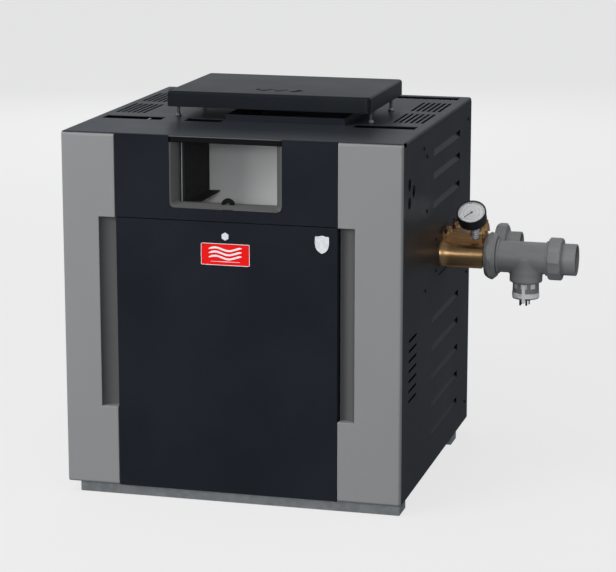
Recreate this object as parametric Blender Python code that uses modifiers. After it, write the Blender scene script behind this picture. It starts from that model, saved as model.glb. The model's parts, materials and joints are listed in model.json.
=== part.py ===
"""Gas pool heater: a sheet-steel cabinet with plastic corner trims and an outdoor vent cap,
a finned-tube heat exchanger over a burner tray, and bronze and plastic pipe connections.

Every place is given in the cabinet frame: X right, Y back, Z up, in metres, with the origin on
the floor under the middle of the cabinet. The root empty carries that frame into the world.
"""

import math

import bmesh
import bpy
from mathutils import Matrix, Vector

NAME = "gas_pool_heater"

# ---- cabinet ----
CABINET_WIDTH = 0.635
CABINET_DEPTH = 0.626
CABINET_TOP = 0.680
BASE_HEIGHT = 0.020
SHEET = 0.0015
GAP = 0.0003
JOINED = 0.001
PAST = 0.010
TINY = 0.000001
FLANGE = 0.018
TOP_HEIGHT = 0.008
TOP_RADIUS = 0.005

RAIL_DEPTH = 0.050
RAIL_WALL = 0.002
RAIL_LEFT_INSET = 0.022
RAIL_RIGHT_INSET = 0.0035
FRONT_RAIL_INSET = 0.010
REAR_RAIL_INSET = 0.095
PAN_HEIGHT = 0.025

# ---- corner trims, door and upper front panel ----
LEFT_TRIM_WIDTH = 0.1015
RIGHT_TRIM_WIDTH = 0.1175
TRIM_DEPTH = 0.028
TRIM_LIP = 0.008
TRIM_WALL = 0.003
TRIM_RADIUS = 0.006
GRIP_WIDTH = 0.031
GRIP_DEPTH = 0.020
GRIP_BOTTOM = 0.170
DOOR_TOP = 0.525
DOOR_RECESS = 0.002
DOOR_DEPTH = 0.022
DOOR_GAP = 0.0012

BADGE_SIZE = (0.091, 0.0012, 0.040)
BADGE_HEIGHT = 0.467
LABEL_SIZE = (0.026, 0.0008, 0.033)
LABEL_OFFSET = 0.179
LABEL_HEIGHT = 0.494
LATCH_HEIGHT = 0.500
LATCH_HEX_RADIUS = 0.0073
LATCH_SHANK_RADIUS = 0.004
LATCH_SHANK_LENGTH = 0.0265
LATCH_CAM = (0.034, 0.003, 0.012)
LATCH_CAM_TAIL = 0.006
LATCH_CLEARANCE = 0.0006

# ---- control window ----
WINDOW_WIDTH = 0.210
WINDOW_BOTTOM = 0.548
BEZEL_RIM = 0.013
BEZEL_SILL = 0.007
BEZEL_EDGE = 0.001
BEZEL_SLOPE_DEPTH = 0.014
BAY_GAP = 0.006
BAY_DEPTH = 0.158
BAY_DROP = 0.024
BAY_SIDE_INSET = 0.0145
GROMMET_RADIUS = 0.0125
GROMMET_BORE = 0.005
GROMMET_LENGTH = 0.008
GROMMET_RISE = 0.0055

# ---- flue and vent cap ----
FLUE_WIDTH = 0.228
FLUE_DEPTH = 0.240
FLUE_OFFSET = 0.051
COLLAR_RISE = 0.012
CAP_WIDTH = 0.390
CAP_FRONT = -0.129
CAP_BACK = 0.146
CAP_OFFSET = 0.019
CAP_HEIGHT = 0.030
CAP_LIFT = 0.024
CAP_RADIUS = 0.008
CAP_TOP_RADIUS = 0.004
LEG_INSET_X = 0.009
LEG_SPREAD = 0.166
LEG_RADIUS = 0.003
LEG_FOOT_RADIUS = 0.0075
LEG_FOOT_HEIGHT = 0.003

# ---- grilles and slots of the top ----
TOP_SIDE_MARGIN = 0.0185
FRONT_SLOT_WIDTH = 0.115
FRONT_SLOT_DEPTH = 0.036
FRONT_SLOT_Y = -0.124
CENTRE_SLOT_WIDTH = 0.070
CENTRE_SLOT_X = -0.103
REAR_SLOT_DEPTH = 0.035
REAR_SLOT_Y = 0.273
GRILLE_LENGTH = 0.120
GRILLE_BARS = 6
GRILLE_PITCH = 0.0105
GRILLE_SLOT = 0.0055
GRILLE_CENTRES = (-0.004, 0.149)

# ---- louvres and holes of the sides ----
LOUVRE_LENGTH = 0.250
LOUVRE_CENTRE_Y = 0.075
LOUVRE_PITCH = 0.055
LOUVRE_FIRST = 0.085
LOWER_LOUVRES = 5
UPPER_LOUVRES = (0.525, 0.580, 0.624)
LOUVRE_OPENING = 0.014
LOUVRE_SLAT = 0.022
LOUVRE_SHEET = 0.0012
LOUVRE_TILT = 32.0
SLIT_LENGTH = 0.066
SLIT_HEIGHT = 0.005
SLIT_Y = -0.220
SLIT_FIRST = 0.197
SLIT_PITCH = 0.0187
SLITS = 7
CONDUIT_RADIUS = 0.011
CONDUIT_HOLES = ((-0.258, 0.599), (-0.222, 0.582), (-0.258, 0.566))
GAS_HOLE_CLEARANCE = 0.003

# ---- heat exchanger and chamber ----
CORE_SIDE_ROOM = 0.1225
CORE_DEPTH = 0.310
CORE_HEIGHT = 0.060
CORE_BOTTOM = 0.392
CORE_Y = 0.010
TUBE_RADIUS = 0.011
TUBE_WALL = 0.0015
TUBES = 6
TUBE_PITCH = 0.048
TUBE_STUB = 0.018
TUBE_SHEET = 0.010
TUBE_SHEET_LIP = 0.007
BRICK = 0.022
CHAMBER_BOTTOM = 0.130
HOOD_STRAIGHT = 0.014
HOOD_TOP = 0.505

# ---- water header and pipework: each OUT is a distance out from the right side panel ----
PORT_Z = 0.418
FRONT_PORT_Y = 0.035
REAR_PORT_Y = 0.128
FRONT_NUT_OUT = 0.0865
REAR_NUT_OUT = 0.0895
HEADER_DEPTH = 0.050
HEADER_WALL = 0.006
NECK_WIDTH = 0.060
NECK_TOP = 0.038
NECK_BOTTOM = 0.030
NECK_OUT = 0.0745
SPIGOT_RADIUS = 0.0215
SPIGOT_BORE = 0.017
COLLAR_RADIUS = 0.029
COLLAR_LENGTH = 0.008
COLLAR_LEAD = 0.002
PORT_CUTOUT_MARGIN = 0.008
PIPE_RADIUS = 0.030
PIPE_BORE = 0.0255
NUT_CORNER = 0.046
NUT_LENGTH = 0.021
NUT_SIDES = 8
NUT_CLEARANCE = 0.0004
NUT_CHAMFER = 0.003
SMALL_NUT_CORNER = 0.041
SMALL_NUT_LENGTH = 0.025
SMALL_NUT_OUT = 0.2065
SMALL_NUT_SIDES = 12
TEE_OUT = 0.2145
BRANCH_OUT = 0.1625
BRANCH_RADIUS = 0.031
BRANCH_BORE = 0.0225
BRANCH_DROP = 0.046
TAIL_OUT = 0.2585
REAR_TAIL_OUT = 0.1375

ANODE_RADIUS = 0.025
ANODE_HEIGHT = 0.031
ANODE_WALL = 0.004
ANODE_WINDOW = (0.012, 0.011)
ANODE_RIM = 0.0015
ROD_RADIUS = 0.004
ROD_BELOW = 0.003
ROD_ABOVE = 0.030
LUG_SIZE = (0.018, 0.007, 0.0025)
LUG_PRONG = (0.002, 0.005, 0.007)

# ---- pressure gauge ----
GAUGE_OUT = 0.0595
GAUGE_Y = 0.014
GAUGE_Z = 0.505
GAUGE_TILT = 40.0
GAUGE_RADIUS = 0.0265
GAUGE_DEPTH = 0.026
GAUGE_RIM = 0.0025
GAUGE_WELL = 0.005
DIAL_THICKNESS = 0.0010
NEEDLE_SIZE = (0.0016, 0.021, 0.0006)
NEEDLE_HUB = 0.0026
NEEDLE_TAIL = 0.004
NEEDLE_REST = 135.0
NEEDLE_LIFT = 0.0005
LENS_THICKNESS = 0.0012
STEM_RADIUS = 0.0062
STEM_LENGTH = 0.034
BOSS_RADIUS = 0.0095
BOSS_LENGTH = 0.016

# ---- burners and gas train ----
BURNERS = 5
BURNER_PITCH = 0.066
BURNER_RADIUS = 0.014
BURNER_LENGTH = 0.312
BURNER_REACH = 0.022
BURNER_CLEARANCE = 0.001
FLAME_SLOT = 0.006
FLAME_MARGIN = 0.022
BURNER_Z = 0.100
BURNER_WALL = 0.002
MANIFOLD_RADIUS = 0.0135
MANIFOLD_Y = -0.215
MANIFOLD_PAST = 0.030
SPUD_RADIUS = 0.005
SPUD_LENGTH = 0.010
VALVE_SIZE = (0.070, 0.060, 0.075)
VALVE_RADIUS = 0.006
VALVE_X = -0.215
KNOB_RADIUS = 0.015
KNOB_HEIGHT = 0.014
KNOB_SKIRT = 0.003
KNOB_FLUTES = 8
KNOB_FLUTE = 0.0022
GAS_PIPE_RADIUS = 0.0134
GAS_PIPE_WALL = 0.0025
GAS_PIPE_START = 0.003
IGNITER_RADIUS = 0.005
IGNITER_RISE = 0.020
IGNITER_INSET = 0.020

# ---- electrical ----
JUNCTION_SIZE = (0.058, 0.100, 0.110)
JUNCTION_Y = -0.233
JUNCTION_Z = 0.585
TRANSFORMER_SIZE = (0.055, 0.060, 0.048)
BOARD_SIZE = (0.0016, 0.120, 0.080)
BOARD_STANDOFF = 0.006
BOARD_Z = 0.590

# ---- derived places ----
HALF_W = CABINET_WIDTH / 2
HALF_D = CABINET_DEPTH / 2
FRONT = -HALF_D
SIDE_FRONT = FRONT + TRIM_LIP + GAP
TRIM_TOP = CABINET_TOP - SHEET - GAP
TOP_BOTTOM = CABINET_TOP - TOP_HEIGHT
DOOR_LEFT = -HALF_W + LEFT_TRIM_WIDTH + DOOR_GAP
DOOR_RIGHT = HALF_W - RIGHT_TRIM_WIDTH - DOOR_GAP
DOOR_MIDDLE = (DOOR_LEFT + DOOR_RIGHT) / 2
DOOR_FRONT = FRONT + DOOR_RECESS
WINDOW_LEFT = DOOR_MIDDLE - WINDOW_WIDTH / 2
WINDOW_RIGHT = DOOR_MIDDLE + WINDOW_WIDTH / 2
CORE_WIDTH = CABINET_WIDTH - 2 * CORE_SIDE_ROOM
CORE_TOP = CORE_BOTTOM + CORE_HEIGHT
SHEET_INNER = CORE_WIDTH / 2 + TUBE_STUB
SHEET_OUTER = SHEET_INNER + TUBE_SHEET
SHEET_HALF_Y = CORE_DEPTH / 2 + TUBE_SHEET_LIP
SHEET_LOW = CORE_BOTTOM - TUBE_SHEET_LIP
SHEET_HIGH = CORE_TOP + TUBE_SHEET_LIP
HEADER_END = SHEET_OUTER + GAP + HEADER_DEPTH
HOOD_BOTTOM = CORE_TOP + GAP
CAP_BOTTOM = CABINET_TOP + CAP_LIFT
COLLAR_TOP = CABINET_TOP + COLLAR_RISE
FRONT_NUT_X = HALF_W + FRONT_NUT_OUT
REAR_NUT_X = HALF_W + REAR_NUT_OUT
SMALL_NUT_X = HALF_W + SMALL_NUT_OUT
NECK_END = HALF_W + NECK_OUT
TEE_END = HALF_W + TEE_OUT
BRANCH_X = HALF_W + BRANCH_OUT
TAIL_END = HALF_W + TAIL_OUT
REAR_TAIL_END = HALF_W + REAR_TAIL_OUT
TEE_START = FRONT_NUT_X - COLLAR_LEAD + COLLAR_LENGTH + GAP
REAR_TAIL_START = REAR_NUT_X - COLLAR_LEAD + COLLAR_LENGTH + GAP
BRANCH_BOTTOM = PORT_Z - BRANCH_DROP
TRAY_BOTTOM = BASE_HEIGHT + SHEET + GAP
GAUGE_CENTRE = Vector((HALF_W + GAUGE_OUT, GAUGE_Y, GAUGE_Z))
GAUGE_AXIS = Vector((0, -math.sin(math.radians(GAUGE_TILT)), math.cos(math.radians(GAUGE_TILT))))
WORLD_SHIFT = Vector((-(TAIL_END - HALF_W) / 2, 0, 0))


def clear_scene():
    for old in list(bpy.data.objects):
        bpy.data.objects.remove(old, do_unlink=True)


def make_collection(name):
    collection = bpy.data.collections.new(name)
    bpy.context.scene.collection.children.link(collection)
    return collection


def make_material(name, colour, roughness, metallic=0.0, alpha=1.0):
    material = bpy.data.materials.new(name)
    material.use_nodes = True
    shader = material.node_tree.nodes["Principled BSDF"]
    shader.inputs["Base Color"].default_value = (*colour, 1.0)
    shader.inputs["Roughness"].default_value = roughness
    shader.inputs["Metallic"].default_value = metallic
    shader.inputs["Alpha"].default_value = alpha
    return material


# ---- mesh helpers: each adds a closed shape to a bmesh, in the cabinet frame ----


def box(mesh, low, high):
    low, high = Vector(low), Vector(high)
    place = Matrix.Translation((low + high) / 2) @ Matrix.Diagonal((*(high - low), 1))
    return bmesh.ops.create_cube(mesh, size=1.0, matrix=place)["verts"]


def rod(mesh, start, end, radius, sides=32, end_radius=None, turn=0.0):
    """A cylinder, cone or prism from start to end. turn rolls a prism about its axis."""
    start, end = Vector(start), Vector(end)
    along = end - start
    place = (
        Matrix.Translation((start + end) / 2)
        @ along.to_track_quat("Z", "Y").to_matrix().to_4x4()
        @ Matrix.Rotation(turn, 4, "Z")
    )
    return bmesh.ops.create_cone(
        mesh,
        cap_ends=True,
        segments=sides,
        radius1=radius,
        radius2=radius if end_radius is None else end_radius,
        depth=along.length,
        matrix=place,
    )["verts"]


class Builder:
    """Turns bmeshes into named objects, under one root, in the two collections."""

    def __init__(self):
        self.parts = make_collection(NAME)
        self.cutters = make_collection(NAME + "_cutters")
        self.cutters.hide_render = True
        self.root = bpy.data.objects.new(NAME + "_root", None)
        self.root.location = WORLD_SHIFT
        self.parts.objects.link(self.root)

    def place(self, name, mesh, origin, collection):
        origin = Vector(origin)
        bmesh.ops.translate(mesh, verts=mesh.verts, vec=-origin)
        bmesh.ops.recalc_face_normals(mesh, faces=mesh.faces)
        data = bpy.data.meshes.new(name)
        mesh.to_mesh(data)
        mesh.free()
        made = bpy.data.objects.new(name, data)
        made.location = origin
        made.parent = self.root
        collection.objects.link(made)
        return made

    def part(self, name, mesh, material, origin=(0, 0, 0)):
        made = self.place(name, mesh, origin, self.parts)
        made.data.materials.append(material)
        return made

    def tool(self, target, operation, shape, *args):
        """Cuts or joins one shape or, when shape is None, every (shape, values) pair in args."""
        mesh = bmesh.new()
        pairs = args if shape is None else [(shape, args)]
        for make, values in pairs:
            make(mesh, *values)
        name = f"{target.name}_{operation.lower()}_{len(target.modifiers)}"
        cutter = self.place(name, mesh, (0, 0, 0), self.cutters)
        cutter.hide_render = True
        cutter.display_type = "WIRE"
        step = target.modifiers.new(name, "BOOLEAN")
        step.operation = operation
        step.solver = "EXACT"
        step.object = cutter

    def cut(self, target, shape, *args):
        self.tool(target, "DIFFERENCE", shape, *args)

    def join(self, target, shape, *args):
        self.tool(target, "UNION", shape, *args)


def solidify(target, wall=SHEET):
    step = target.modifiers.new("wall", "SOLIDIFY")
    step.thickness = wall
    step.offset = -1
    step.use_even_offset = True
    step.use_rim = True


def round_edges(mesh, chosen, radius, segments=3):
    edges = [edge for edge in mesh.edges if chosen(edge)]
    bmesh.ops.bevel(
        mesh, geom=edges, offset=radius, segments=segments, profile=0.5, affect="EDGES"
    )


def upright(edge):
    first, second = (vert.co for vert in edge.verts)
    return abs(first.x - second.x) < TINY and abs(first.y - second.y) < TINY


def drop_face(mesh, axis, side):
    """Opens a box on one side: axis 0 to 2, side -1 or 1."""
    face = max(mesh.faces, key=lambda f: side * f.calc_center_median()[axis])
    bmesh.ops.delete(mesh, geom=[face], context="FACES_ONLY")


def tray(build, name, low, high, open_axis, open_side, material, wall=SHEET, origin=(0, 0, 0)):
    """A folded sheet box, open on one side."""
    mesh = bmesh.new()
    box(mesh, low, high)
    drop_face(mesh, open_axis, open_side)
    made = build.part(name, mesh, material, origin)
    solidify(made, wall)
    return made


# ---- cabinet ----


def make_base(build, steel):
    left, right = -HALF_W + RAIL_LEFT_INSET, HALF_W - RAIL_RIGHT_INSET
    fronts = {
        "base_front_rail": FRONT + FRONT_RAIL_INSET,
        "base_rear_rail": HALF_D - REAR_RAIL_INSET - RAIL_DEPTH,
    }
    for name, front in fronts.items():
        high = (right, front + RAIL_DEPTH, BASE_HEIGHT - GAP)
        tray(build, name, (left, front, 0), high, 2, 1, steel, RAIL_WALL)
    inner = HALF_W - FLANGE - GAP
    low = (-inner, FRONT + TRIM_DEPTH + GAP, BASE_HEIGHT)
    high = (inner, HALF_D - FLANGE - GAP, BASE_HEIGHT + PAN_HEIGHT)
    tray(build, "base_pan", low, high, 2, 1, steel)


def louvre_heights():
    lower = [LOUVRE_FIRST + LOUVRE_PITCH * index for index in range(LOWER_LOUVRES)]
    return lower + list(UPPER_LOUVRES)


def slat(mesh, side, height):
    """A louvre blade that leans into the cabinet from the lower lip of its opening."""
    size = Matrix.Diagonal((LOUVRE_SHEET, LOUVRE_LENGTH + 2 * GAP, LOUVRE_SLAT, 1))
    tilt = math.radians(LOUVRE_TILT)
    lean = Matrix.Rotation(-side * tilt, 4, "Y")
    inward = LOUVRE_SLAT / 2 * math.sin(tilt) + LOUVRE_SHEET * 0.75
    rise = LOUVRE_SLAT / 2 * math.cos(tilt) - LOUVRE_SHEET / 2
    place = (side * (HALF_W - inward), LOUVRE_CENTRE_Y, height - LOUVRE_OPENING / 2 + rise)
    bmesh.ops.create_cube(mesh, size=1.0, matrix=Matrix.Translation(place) @ lean @ size)


def make_side(build, name, side, steel):
    inner, outer = side * (HALF_W - FLANGE), side * HALF_W
    low = (min(inner, outer), SIDE_FRONT, BASE_HEIGHT)
    high = (max(inner, outer), HALF_D, TOP_BOTTOM - GAP)
    panel = tray(build, name, low, high, 0, -side, steel)
    reach = (side * (HALF_W - PAST), side * (HALF_W + PAST))
    half = LOUVRE_LENGTH / 2
    openings = []
    for height in louvre_heights():
        corner = (min(reach), LOUVRE_CENTRE_Y - half, height - LOUVRE_OPENING / 2)
        far = (max(reach), LOUVRE_CENTRE_Y + half, height + LOUVRE_OPENING / 2)
        openings.append((box, (corner, far)))
    for index in range(SLITS):
        height = SLIT_FIRST + SLIT_PITCH * index
        corner = (min(reach), SLIT_Y - SLIT_LENGTH / 2, height)
        far = (max(reach), SLIT_Y + SLIT_LENGTH / 2, height + SLIT_HEIGHT)
        openings.append((box, (corner, far)))
    build.cut(panel, None, *openings)
    build.join(panel, None, *[(slat, (side, height)) for height in louvre_heights()])
    return panel, reach


def make_sides(build, steel):
    right, reach = make_side(build, "right_side_panel", 1, steel)
    for y, z in CONDUIT_HOLES:
        build.cut(right, rod, (reach[0], y, z), (reach[1], y, z), CONDUIT_RADIUS, 20)
    low_y = FRONT_PORT_Y - SPIGOT_RADIUS - PORT_CUTOUT_MARGIN
    high_y = REAR_PORT_Y + SPIGOT_RADIUS + PORT_CUTOUT_MARGIN
    low = (reach[0], low_y, PORT_Z - NECK_BOTTOM - PORT_CUTOUT_MARGIN)
    high = (reach[1], high_y, PORT_Z + NECK_TOP + PORT_CUTOUT_MARGIN)
    build.cut(right, box, low, high)
    left, reach = make_side(build, "left_side_panel", -1, steel)
    ends = [(x, MANIFOLD_Y, BURNER_Z) for x in reach]
    build.cut(left, rod, *ends, GAS_PIPE_RADIUS + GAS_HOLE_CLEARANCE, 24)
    inner = HALF_W - FLANGE - GAP
    low = (-inner, HALF_D - FLANGE, BASE_HEIGHT)
    tray(build, "rear_panel", low, (inner, HALF_D, TOP_BOTTOM - GAP), 1, -1, steel)


def make_top(build, steel):
    mesh = bmesh.new()
    box(mesh, (-HALF_W, FRONT, TOP_BOTTOM), (HALF_W, HALF_D, CABINET_TOP))

    def rolled(edge):
        return all(vert.co.z > TOP_BOTTOM + TINY for vert in edge.verts)

    round_edges(mesh, rolled, TOP_RADIUS)
    drop_face(mesh, 2, -1)
    top = build.part("top_panel", mesh, steel)
    solidify(top)
    # The front skirt is left off, where the sheet lies on the trims and the front panel.
    skirt_end = (HALF_W + PAST, FRONT + TRIM_DEPTH + GAP, CABINET_TOP - SHEET)
    build.cut(top, box, (-HALF_W - PAST, FRONT - PAST, TOP_BOTTOM - PAST), skirt_end)
    low_z, high_z = CABINET_TOP - 2 * SHEET, CABINET_TOP + PAST
    edge = HALF_W - TOP_SIDE_MARGIN
    openings = []

    def slot(x0, x1, y0, y1):
        openings.append((box, ((x0, y0, low_z), (x1, y1, high_z))))

    front_low = FRONT_SLOT_Y - FRONT_SLOT_DEPTH / 2
    front_high = FRONT_SLOT_Y + FRONT_SLOT_DEPTH / 2
    slot(-edge, -edge + FRONT_SLOT_WIDTH, front_low, front_high)
    slot(edge - FRONT_SLOT_WIDTH, edge, front_low, front_high)
    half = CENTRE_SLOT_WIDTH / 2
    slot(CENTRE_SLOT_X - half, CENTRE_SLOT_X + half, front_low, front_high)
    slot(-edge, edge, REAR_SLOT_Y - REAR_SLOT_DEPTH / 2, REAR_SLOT_Y + REAR_SLOT_DEPTH / 2)
    for side in (-1, 1):
        for centre in GRILLE_CENTRES:
            for index in range(GRILLE_BARS):
                x = side * (edge - GRILLE_SLOT / 2 - GRILLE_PITCH * index)
                slot(
                    x - GRILLE_SLOT / 2,
                    x + GRILLE_SLOT / 2,
                    centre - GRILLE_LENGTH / 2,
                    centre + GRILLE_LENGTH / 2,
                )
    flue_low, flue_high = flue_outline(GAP)
    slot(flue_low.x, flue_high.x, flue_low.y, flue_high.y)
    build.cut(top, None, *openings)


def flue_outline(extra):
    """Opposite corners of the flue, outside its wall, grown by a clearance."""
    half = Vector((FLUE_WIDTH / 2 + extra, FLUE_DEPTH / 2 + extra, 0))
    middle = Vector((FLUE_OFFSET, 0, 0))
    return middle - half, middle + half


def make_trims(build, plastic):
    widths = {-1: ("left_corner_trim", LEFT_TRIM_WIDTH), 1: ("right_corner_trim", RIGHT_TRIM_WIDTH)}
    for side, (name, width) in widths.items():
        outer, inner = side * HALF_W, side * (HALF_W - width)
        mesh = bmesh.new()
        low = (min(outer, inner), FRONT, BASE_HEIGHT)
        box(mesh, low, (max(outer, inner), FRONT + TRIM_DEPTH, TRIM_TOP))

        def outside(edge):
            ends = [vert.co for vert in edge.verts]
            in_front = all(end.y < FRONT + TINY for end in ends)
            return in_front and not all(abs(end.x - inner) < TINY for end in ends)

        round_edges(mesh, outside, TRIM_RADIUS)
        trim = build.part(name, mesh, plastic)
        # The side panel's front flange fits behind the outer lip.
        step = side * (HALF_W - FLANGE - 2 * GAP)
        far = side * (HALF_W + PAST)
        low = (min(step, far), FRONT + TRIM_LIP, 0)
        build.cut(trim, box, low, (max(step, far), 0, CABINET_TOP))
        grip = side * (HALF_W - width + GRIP_WIDTH)
        past = inner - side * PAST
        low = (min(grip, past), FRONT - PAST, GRIP_BOTTOM)
        build.cut(trim, box, low, (max(grip, past), FRONT + GRIP_DEPTH, DOOR_TOP))
        hollow = (side * (HALF_W - FLANGE - 2 * GAP - TRIM_WALL), grip + side * TRIM_WALL)
        low = (min(hollow), FRONT + TRIM_WALL, BASE_HEIGHT + TRIM_WALL)
        high = (max(hollow), FRONT + TRIM_DEPTH + PAST, TRIM_TOP - TRIM_WALL)
        build.cut(trim, box, low, high)


def make_door(build, steel, red, silver, zinc):
    low = (DOOR_LEFT, DOOR_FRONT, BASE_HEIGHT)
    high = (DOOR_RIGHT, DOOR_FRONT + DOOR_DEPTH, DOOR_TOP)
    origin = (DOOR_MIDDLE, DOOR_FRONT, DOOR_TOP / 2)
    door = tray(build, "front_door", low, high, 1, 1, steel, origin=origin)
    axis_point = Vector((DOOR_MIDDLE, DOOR_FRONT, LATCH_HEIGHT))
    back = Vector((0, 1, 0))
    hole = LATCH_SHANK_RADIUS + LATCH_CLEARANCE
    build.cut(door, rod, axis_point - back * PAST, axis_point + back * PAST, hole, 20)

    # A hexagon head, flush with the trims, that a key or a spanner turns.
    mesh = bmesh.new()
    head = axis_point - back * DOOR_RECESS
    rod(mesh, head, axis_point - back * GAP, LATCH_HEX_RADIUS, 6)
    latch = build.part("door_latch", mesh, zinc, axis_point)
    tail = axis_point + back * LATCH_SHANK_LENGTH
    build.join(latch, rod, axis_point - back * JOINED, tail, LATCH_SHANK_RADIUS, 20)
    # The cam lies level, unlocked. A quarter turn lifts it behind the upper front panel.
    length, thick, tall = LATCH_CAM
    cam_back = tail.y - JOINED
    right = DOOR_MIDDLE + LATCH_CAM_TAIL
    low = (right - length, cam_back - thick, LATCH_HEIGHT - tall / 2)
    build.join(latch, box, low, (right, cam_back, LATCH_HEIGHT + tall / 2))

    for name, size, x, z, material in (
        ("badge", BADGE_SIZE, DOOR_MIDDLE, BADGE_HEIGHT, red),
        ("rating_label", LABEL_SIZE, DOOR_MIDDLE + LABEL_OFFSET, LABEL_HEIGHT, silver),
    ):
        width, thick, tall = size
        behind = DOOR_FRONT - GAP
        low = (x - width / 2, behind - thick, z - tall / 2)
        mesh = bmesh.new()
        box(mesh, low, (x + width / 2, behind, z + tall / 2))
        build.part(name, mesh, material, (x, behind, z))


def mouth(mesh, low, high, depth_end):
    """The bezel's opening: a box whose back end is narrowed to the sleeve behind it."""
    near = (low[0] + BEZEL_EDGE, DOOR_FRONT - JOINED, low[1] + BEZEL_EDGE)
    verts = box(mesh, near, (high[0] - BEZEL_EDGE, depth_end, high[1] - BEZEL_EDGE))
    for vert in verts:
        if vert.co.y > DOOR_FRONT:
            narrow = BEZEL_RIM - BEZEL_EDGE
            vert.co.x += narrow if vert.co.x < DOOR_MIDDLE else -narrow
            is_sill = vert.co.z < (low[1] + high[1]) / 2
            vert.co.z += BEZEL_SILL - BEZEL_EDGE if is_sill else -narrow


def make_window(build, steel, bezel_plastic, bay_steel, rubber):
    low = (DOOR_LEFT, DOOR_FRONT, DOOR_TOP + DOOR_GAP)
    high = (DOOR_RIGHT, DOOR_FRONT + DOOR_DEPTH, TRIM_TOP)
    panel = tray(build, "upper_front_panel", low, high, 1, 1, steel)
    low = (WINDOW_LEFT, FRONT - PAST, WINDOW_BOTTOM)
    build.cut(panel, box, low, (WINDOW_RIGHT, FRONT + TRIM_DEPTH + PAST, TRIM_TOP + PAST))

    left, right = WINDOW_LEFT + GAP, WINDOW_RIGHT - GAP
    bottom, top = WINDOW_BOTTOM + GAP, TRIM_TOP
    bay_front = DOOR_FRONT + DOOR_DEPTH + BAY_GAP
    slope_end = DOOR_FRONT + BEZEL_SLOPE_DEPTH
    mesh = bmesh.new()
    box(mesh, (left, DOOR_FRONT, bottom), (right, bay_front - GAP, top))
    bezel = build.part("window_bezel", mesh, bezel_plastic)
    build.cut(bezel, mouth, (left, bottom), (right, top), slope_end)
    sleeve_low = (left + BEZEL_RIM, slope_end - JOINED, bottom + BEZEL_SILL)
    build.cut(bezel, box, sleeve_low, (right - BEZEL_RIM, bay_front + PAST, top - BEZEL_RIM))

    # The bay is a deep steel box behind the bezel, with its floor below the sill.
    bay_low = (WINDOW_LEFT + BAY_SIDE_INSET, bay_front, WINDOW_BOTTOM - BAY_DROP)
    bay_high = (WINDOW_RIGHT - BAY_SIDE_INSET, bay_front + BAY_DEPTH, TOP_BOTTOM - GAP)
    tray(build, "control_bay", bay_low, bay_high, 1, -1, bay_steel)

    # The grommet stands in a round notch behind the sill.
    centre = Vector((DOOR_MIDDLE, slope_end, WINDOW_BOTTOM + GROMMET_RISE))
    end = centre + Vector((0, GROMMET_LENGTH, 0))
    past = Vector((0, DOOR_DEPTH, 0))
    build.cut(bezel, rod, centre, centre + past, GROMMET_RADIUS + GAP, 24)
    mesh = bmesh.new()
    rod(mesh, centre + Vector((0, GAP, 0)), end, GROMMET_RADIUS, 24)
    grommet = build.part("cable_grommet", mesh, rubber, centre)
    build.cut(grommet, rod, centre - past, centre + past, GROMMET_BORE, 16)


# ---- flue ----


def frustum(mesh, low_rect, high_rect, z_low, z_high):
    """Four side walls between two level rectangles, open at top and bottom."""
    rings = []
    for (low, high), z in ((low_rect, z_low), (high_rect, z_high)):
        corners = ((low.x, low.y), (high.x, low.y), (high.x, high.y), (low.x, high.y))
        rings.append([mesh.verts.new((x, y, z)) for x, y in corners])
    for index in range(4):
        after = (index + 1) % 4
        mesh.faces.new((rings[0][index], rings[0][after], rings[1][after], rings[1][index]))


def make_flue(build, galvanised, cap_steel, zinc):
    narrow = flue_outline(0)
    half = Vector((CORE_WIDTH / 2, CORE_DEPTH / 2, 0))
    middle = Vector((0, CORE_Y, 0))
    wide = (middle - half, middle + half)
    straight = HOOD_BOTTOM + HOOD_STRAIGHT
    mesh = bmesh.new()
    frustum(mesh, wide, wide, HOOD_BOTTOM, straight)
    frustum(mesh, wide, narrow, straight, HOOD_TOP)
    bmesh.ops.remove_doubles(mesh, verts=mesh.verts, dist=TINY)
    solidify(build.part("flue_hood", mesh, galvanised))
    mesh = bmesh.new()
    frustum(mesh, narrow, narrow, HOOD_TOP + GAP, COLLAR_TOP)
    solidify(build.part("flue_collar", mesh, cap_steel))

    left, right = CAP_OFFSET - CAP_WIDTH / 2, CAP_OFFSET + CAP_WIDTH / 2
    mesh = bmesh.new()
    box(mesh, (left, CAP_FRONT, CAP_BOTTOM), (right, CAP_BACK, CAP_BOTTOM + CAP_HEIGHT))
    round_edges(mesh, upright, CAP_RADIUS)
    high = CAP_BOTTOM + CAP_HEIGHT

    def rim(edge):
        return all(vert.co.z > high - TINY for vert in edge.verts)

    round_edges(mesh, rim, CAP_TOP_RADIUS, 2)
    drop_face(mesh, 2, -1)
    solidify(build.part("vent_cap", mesh, cap_steel))

    number = 0
    for x in (left + LEG_INSET_X, right - LEG_INSET_X):
        for y in (-LEG_SPREAD / 2, LEG_SPREAD / 2):
            number += 1
            leg_profile(build, f"cap_leg_{number}", (x, y, CABINET_TOP + GAP), zinc)


def screw(target, steps=24):
    step = target.modifiers.new("turn", "SCREW")
    step.steps = step.render_steps = steps
    step.use_merge_vertices = True
    step.merge_threshold = 10 * TINY


def turned(build, name, profile, material, origin, steps=24, tilt=0.0):
    """A lathe shape. The profile runs down its outer side from the top, as (radius, height)."""
    data = bpy.data.meshes.new(name)
    data.from_pydata(
        [(radius, 0, height) for radius, height in profile],
        [(index, index + 1) for index in range(len(profile) - 1)],
        [],
    )
    made = bpy.data.objects.new(name, data)
    made.location = origin
    made.rotation_euler.x = tilt
    made.parent = build.root
    build.parts.objects.link(made)
    made.data.materials.append(material)
    screw(made, steps)
    return made


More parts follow.
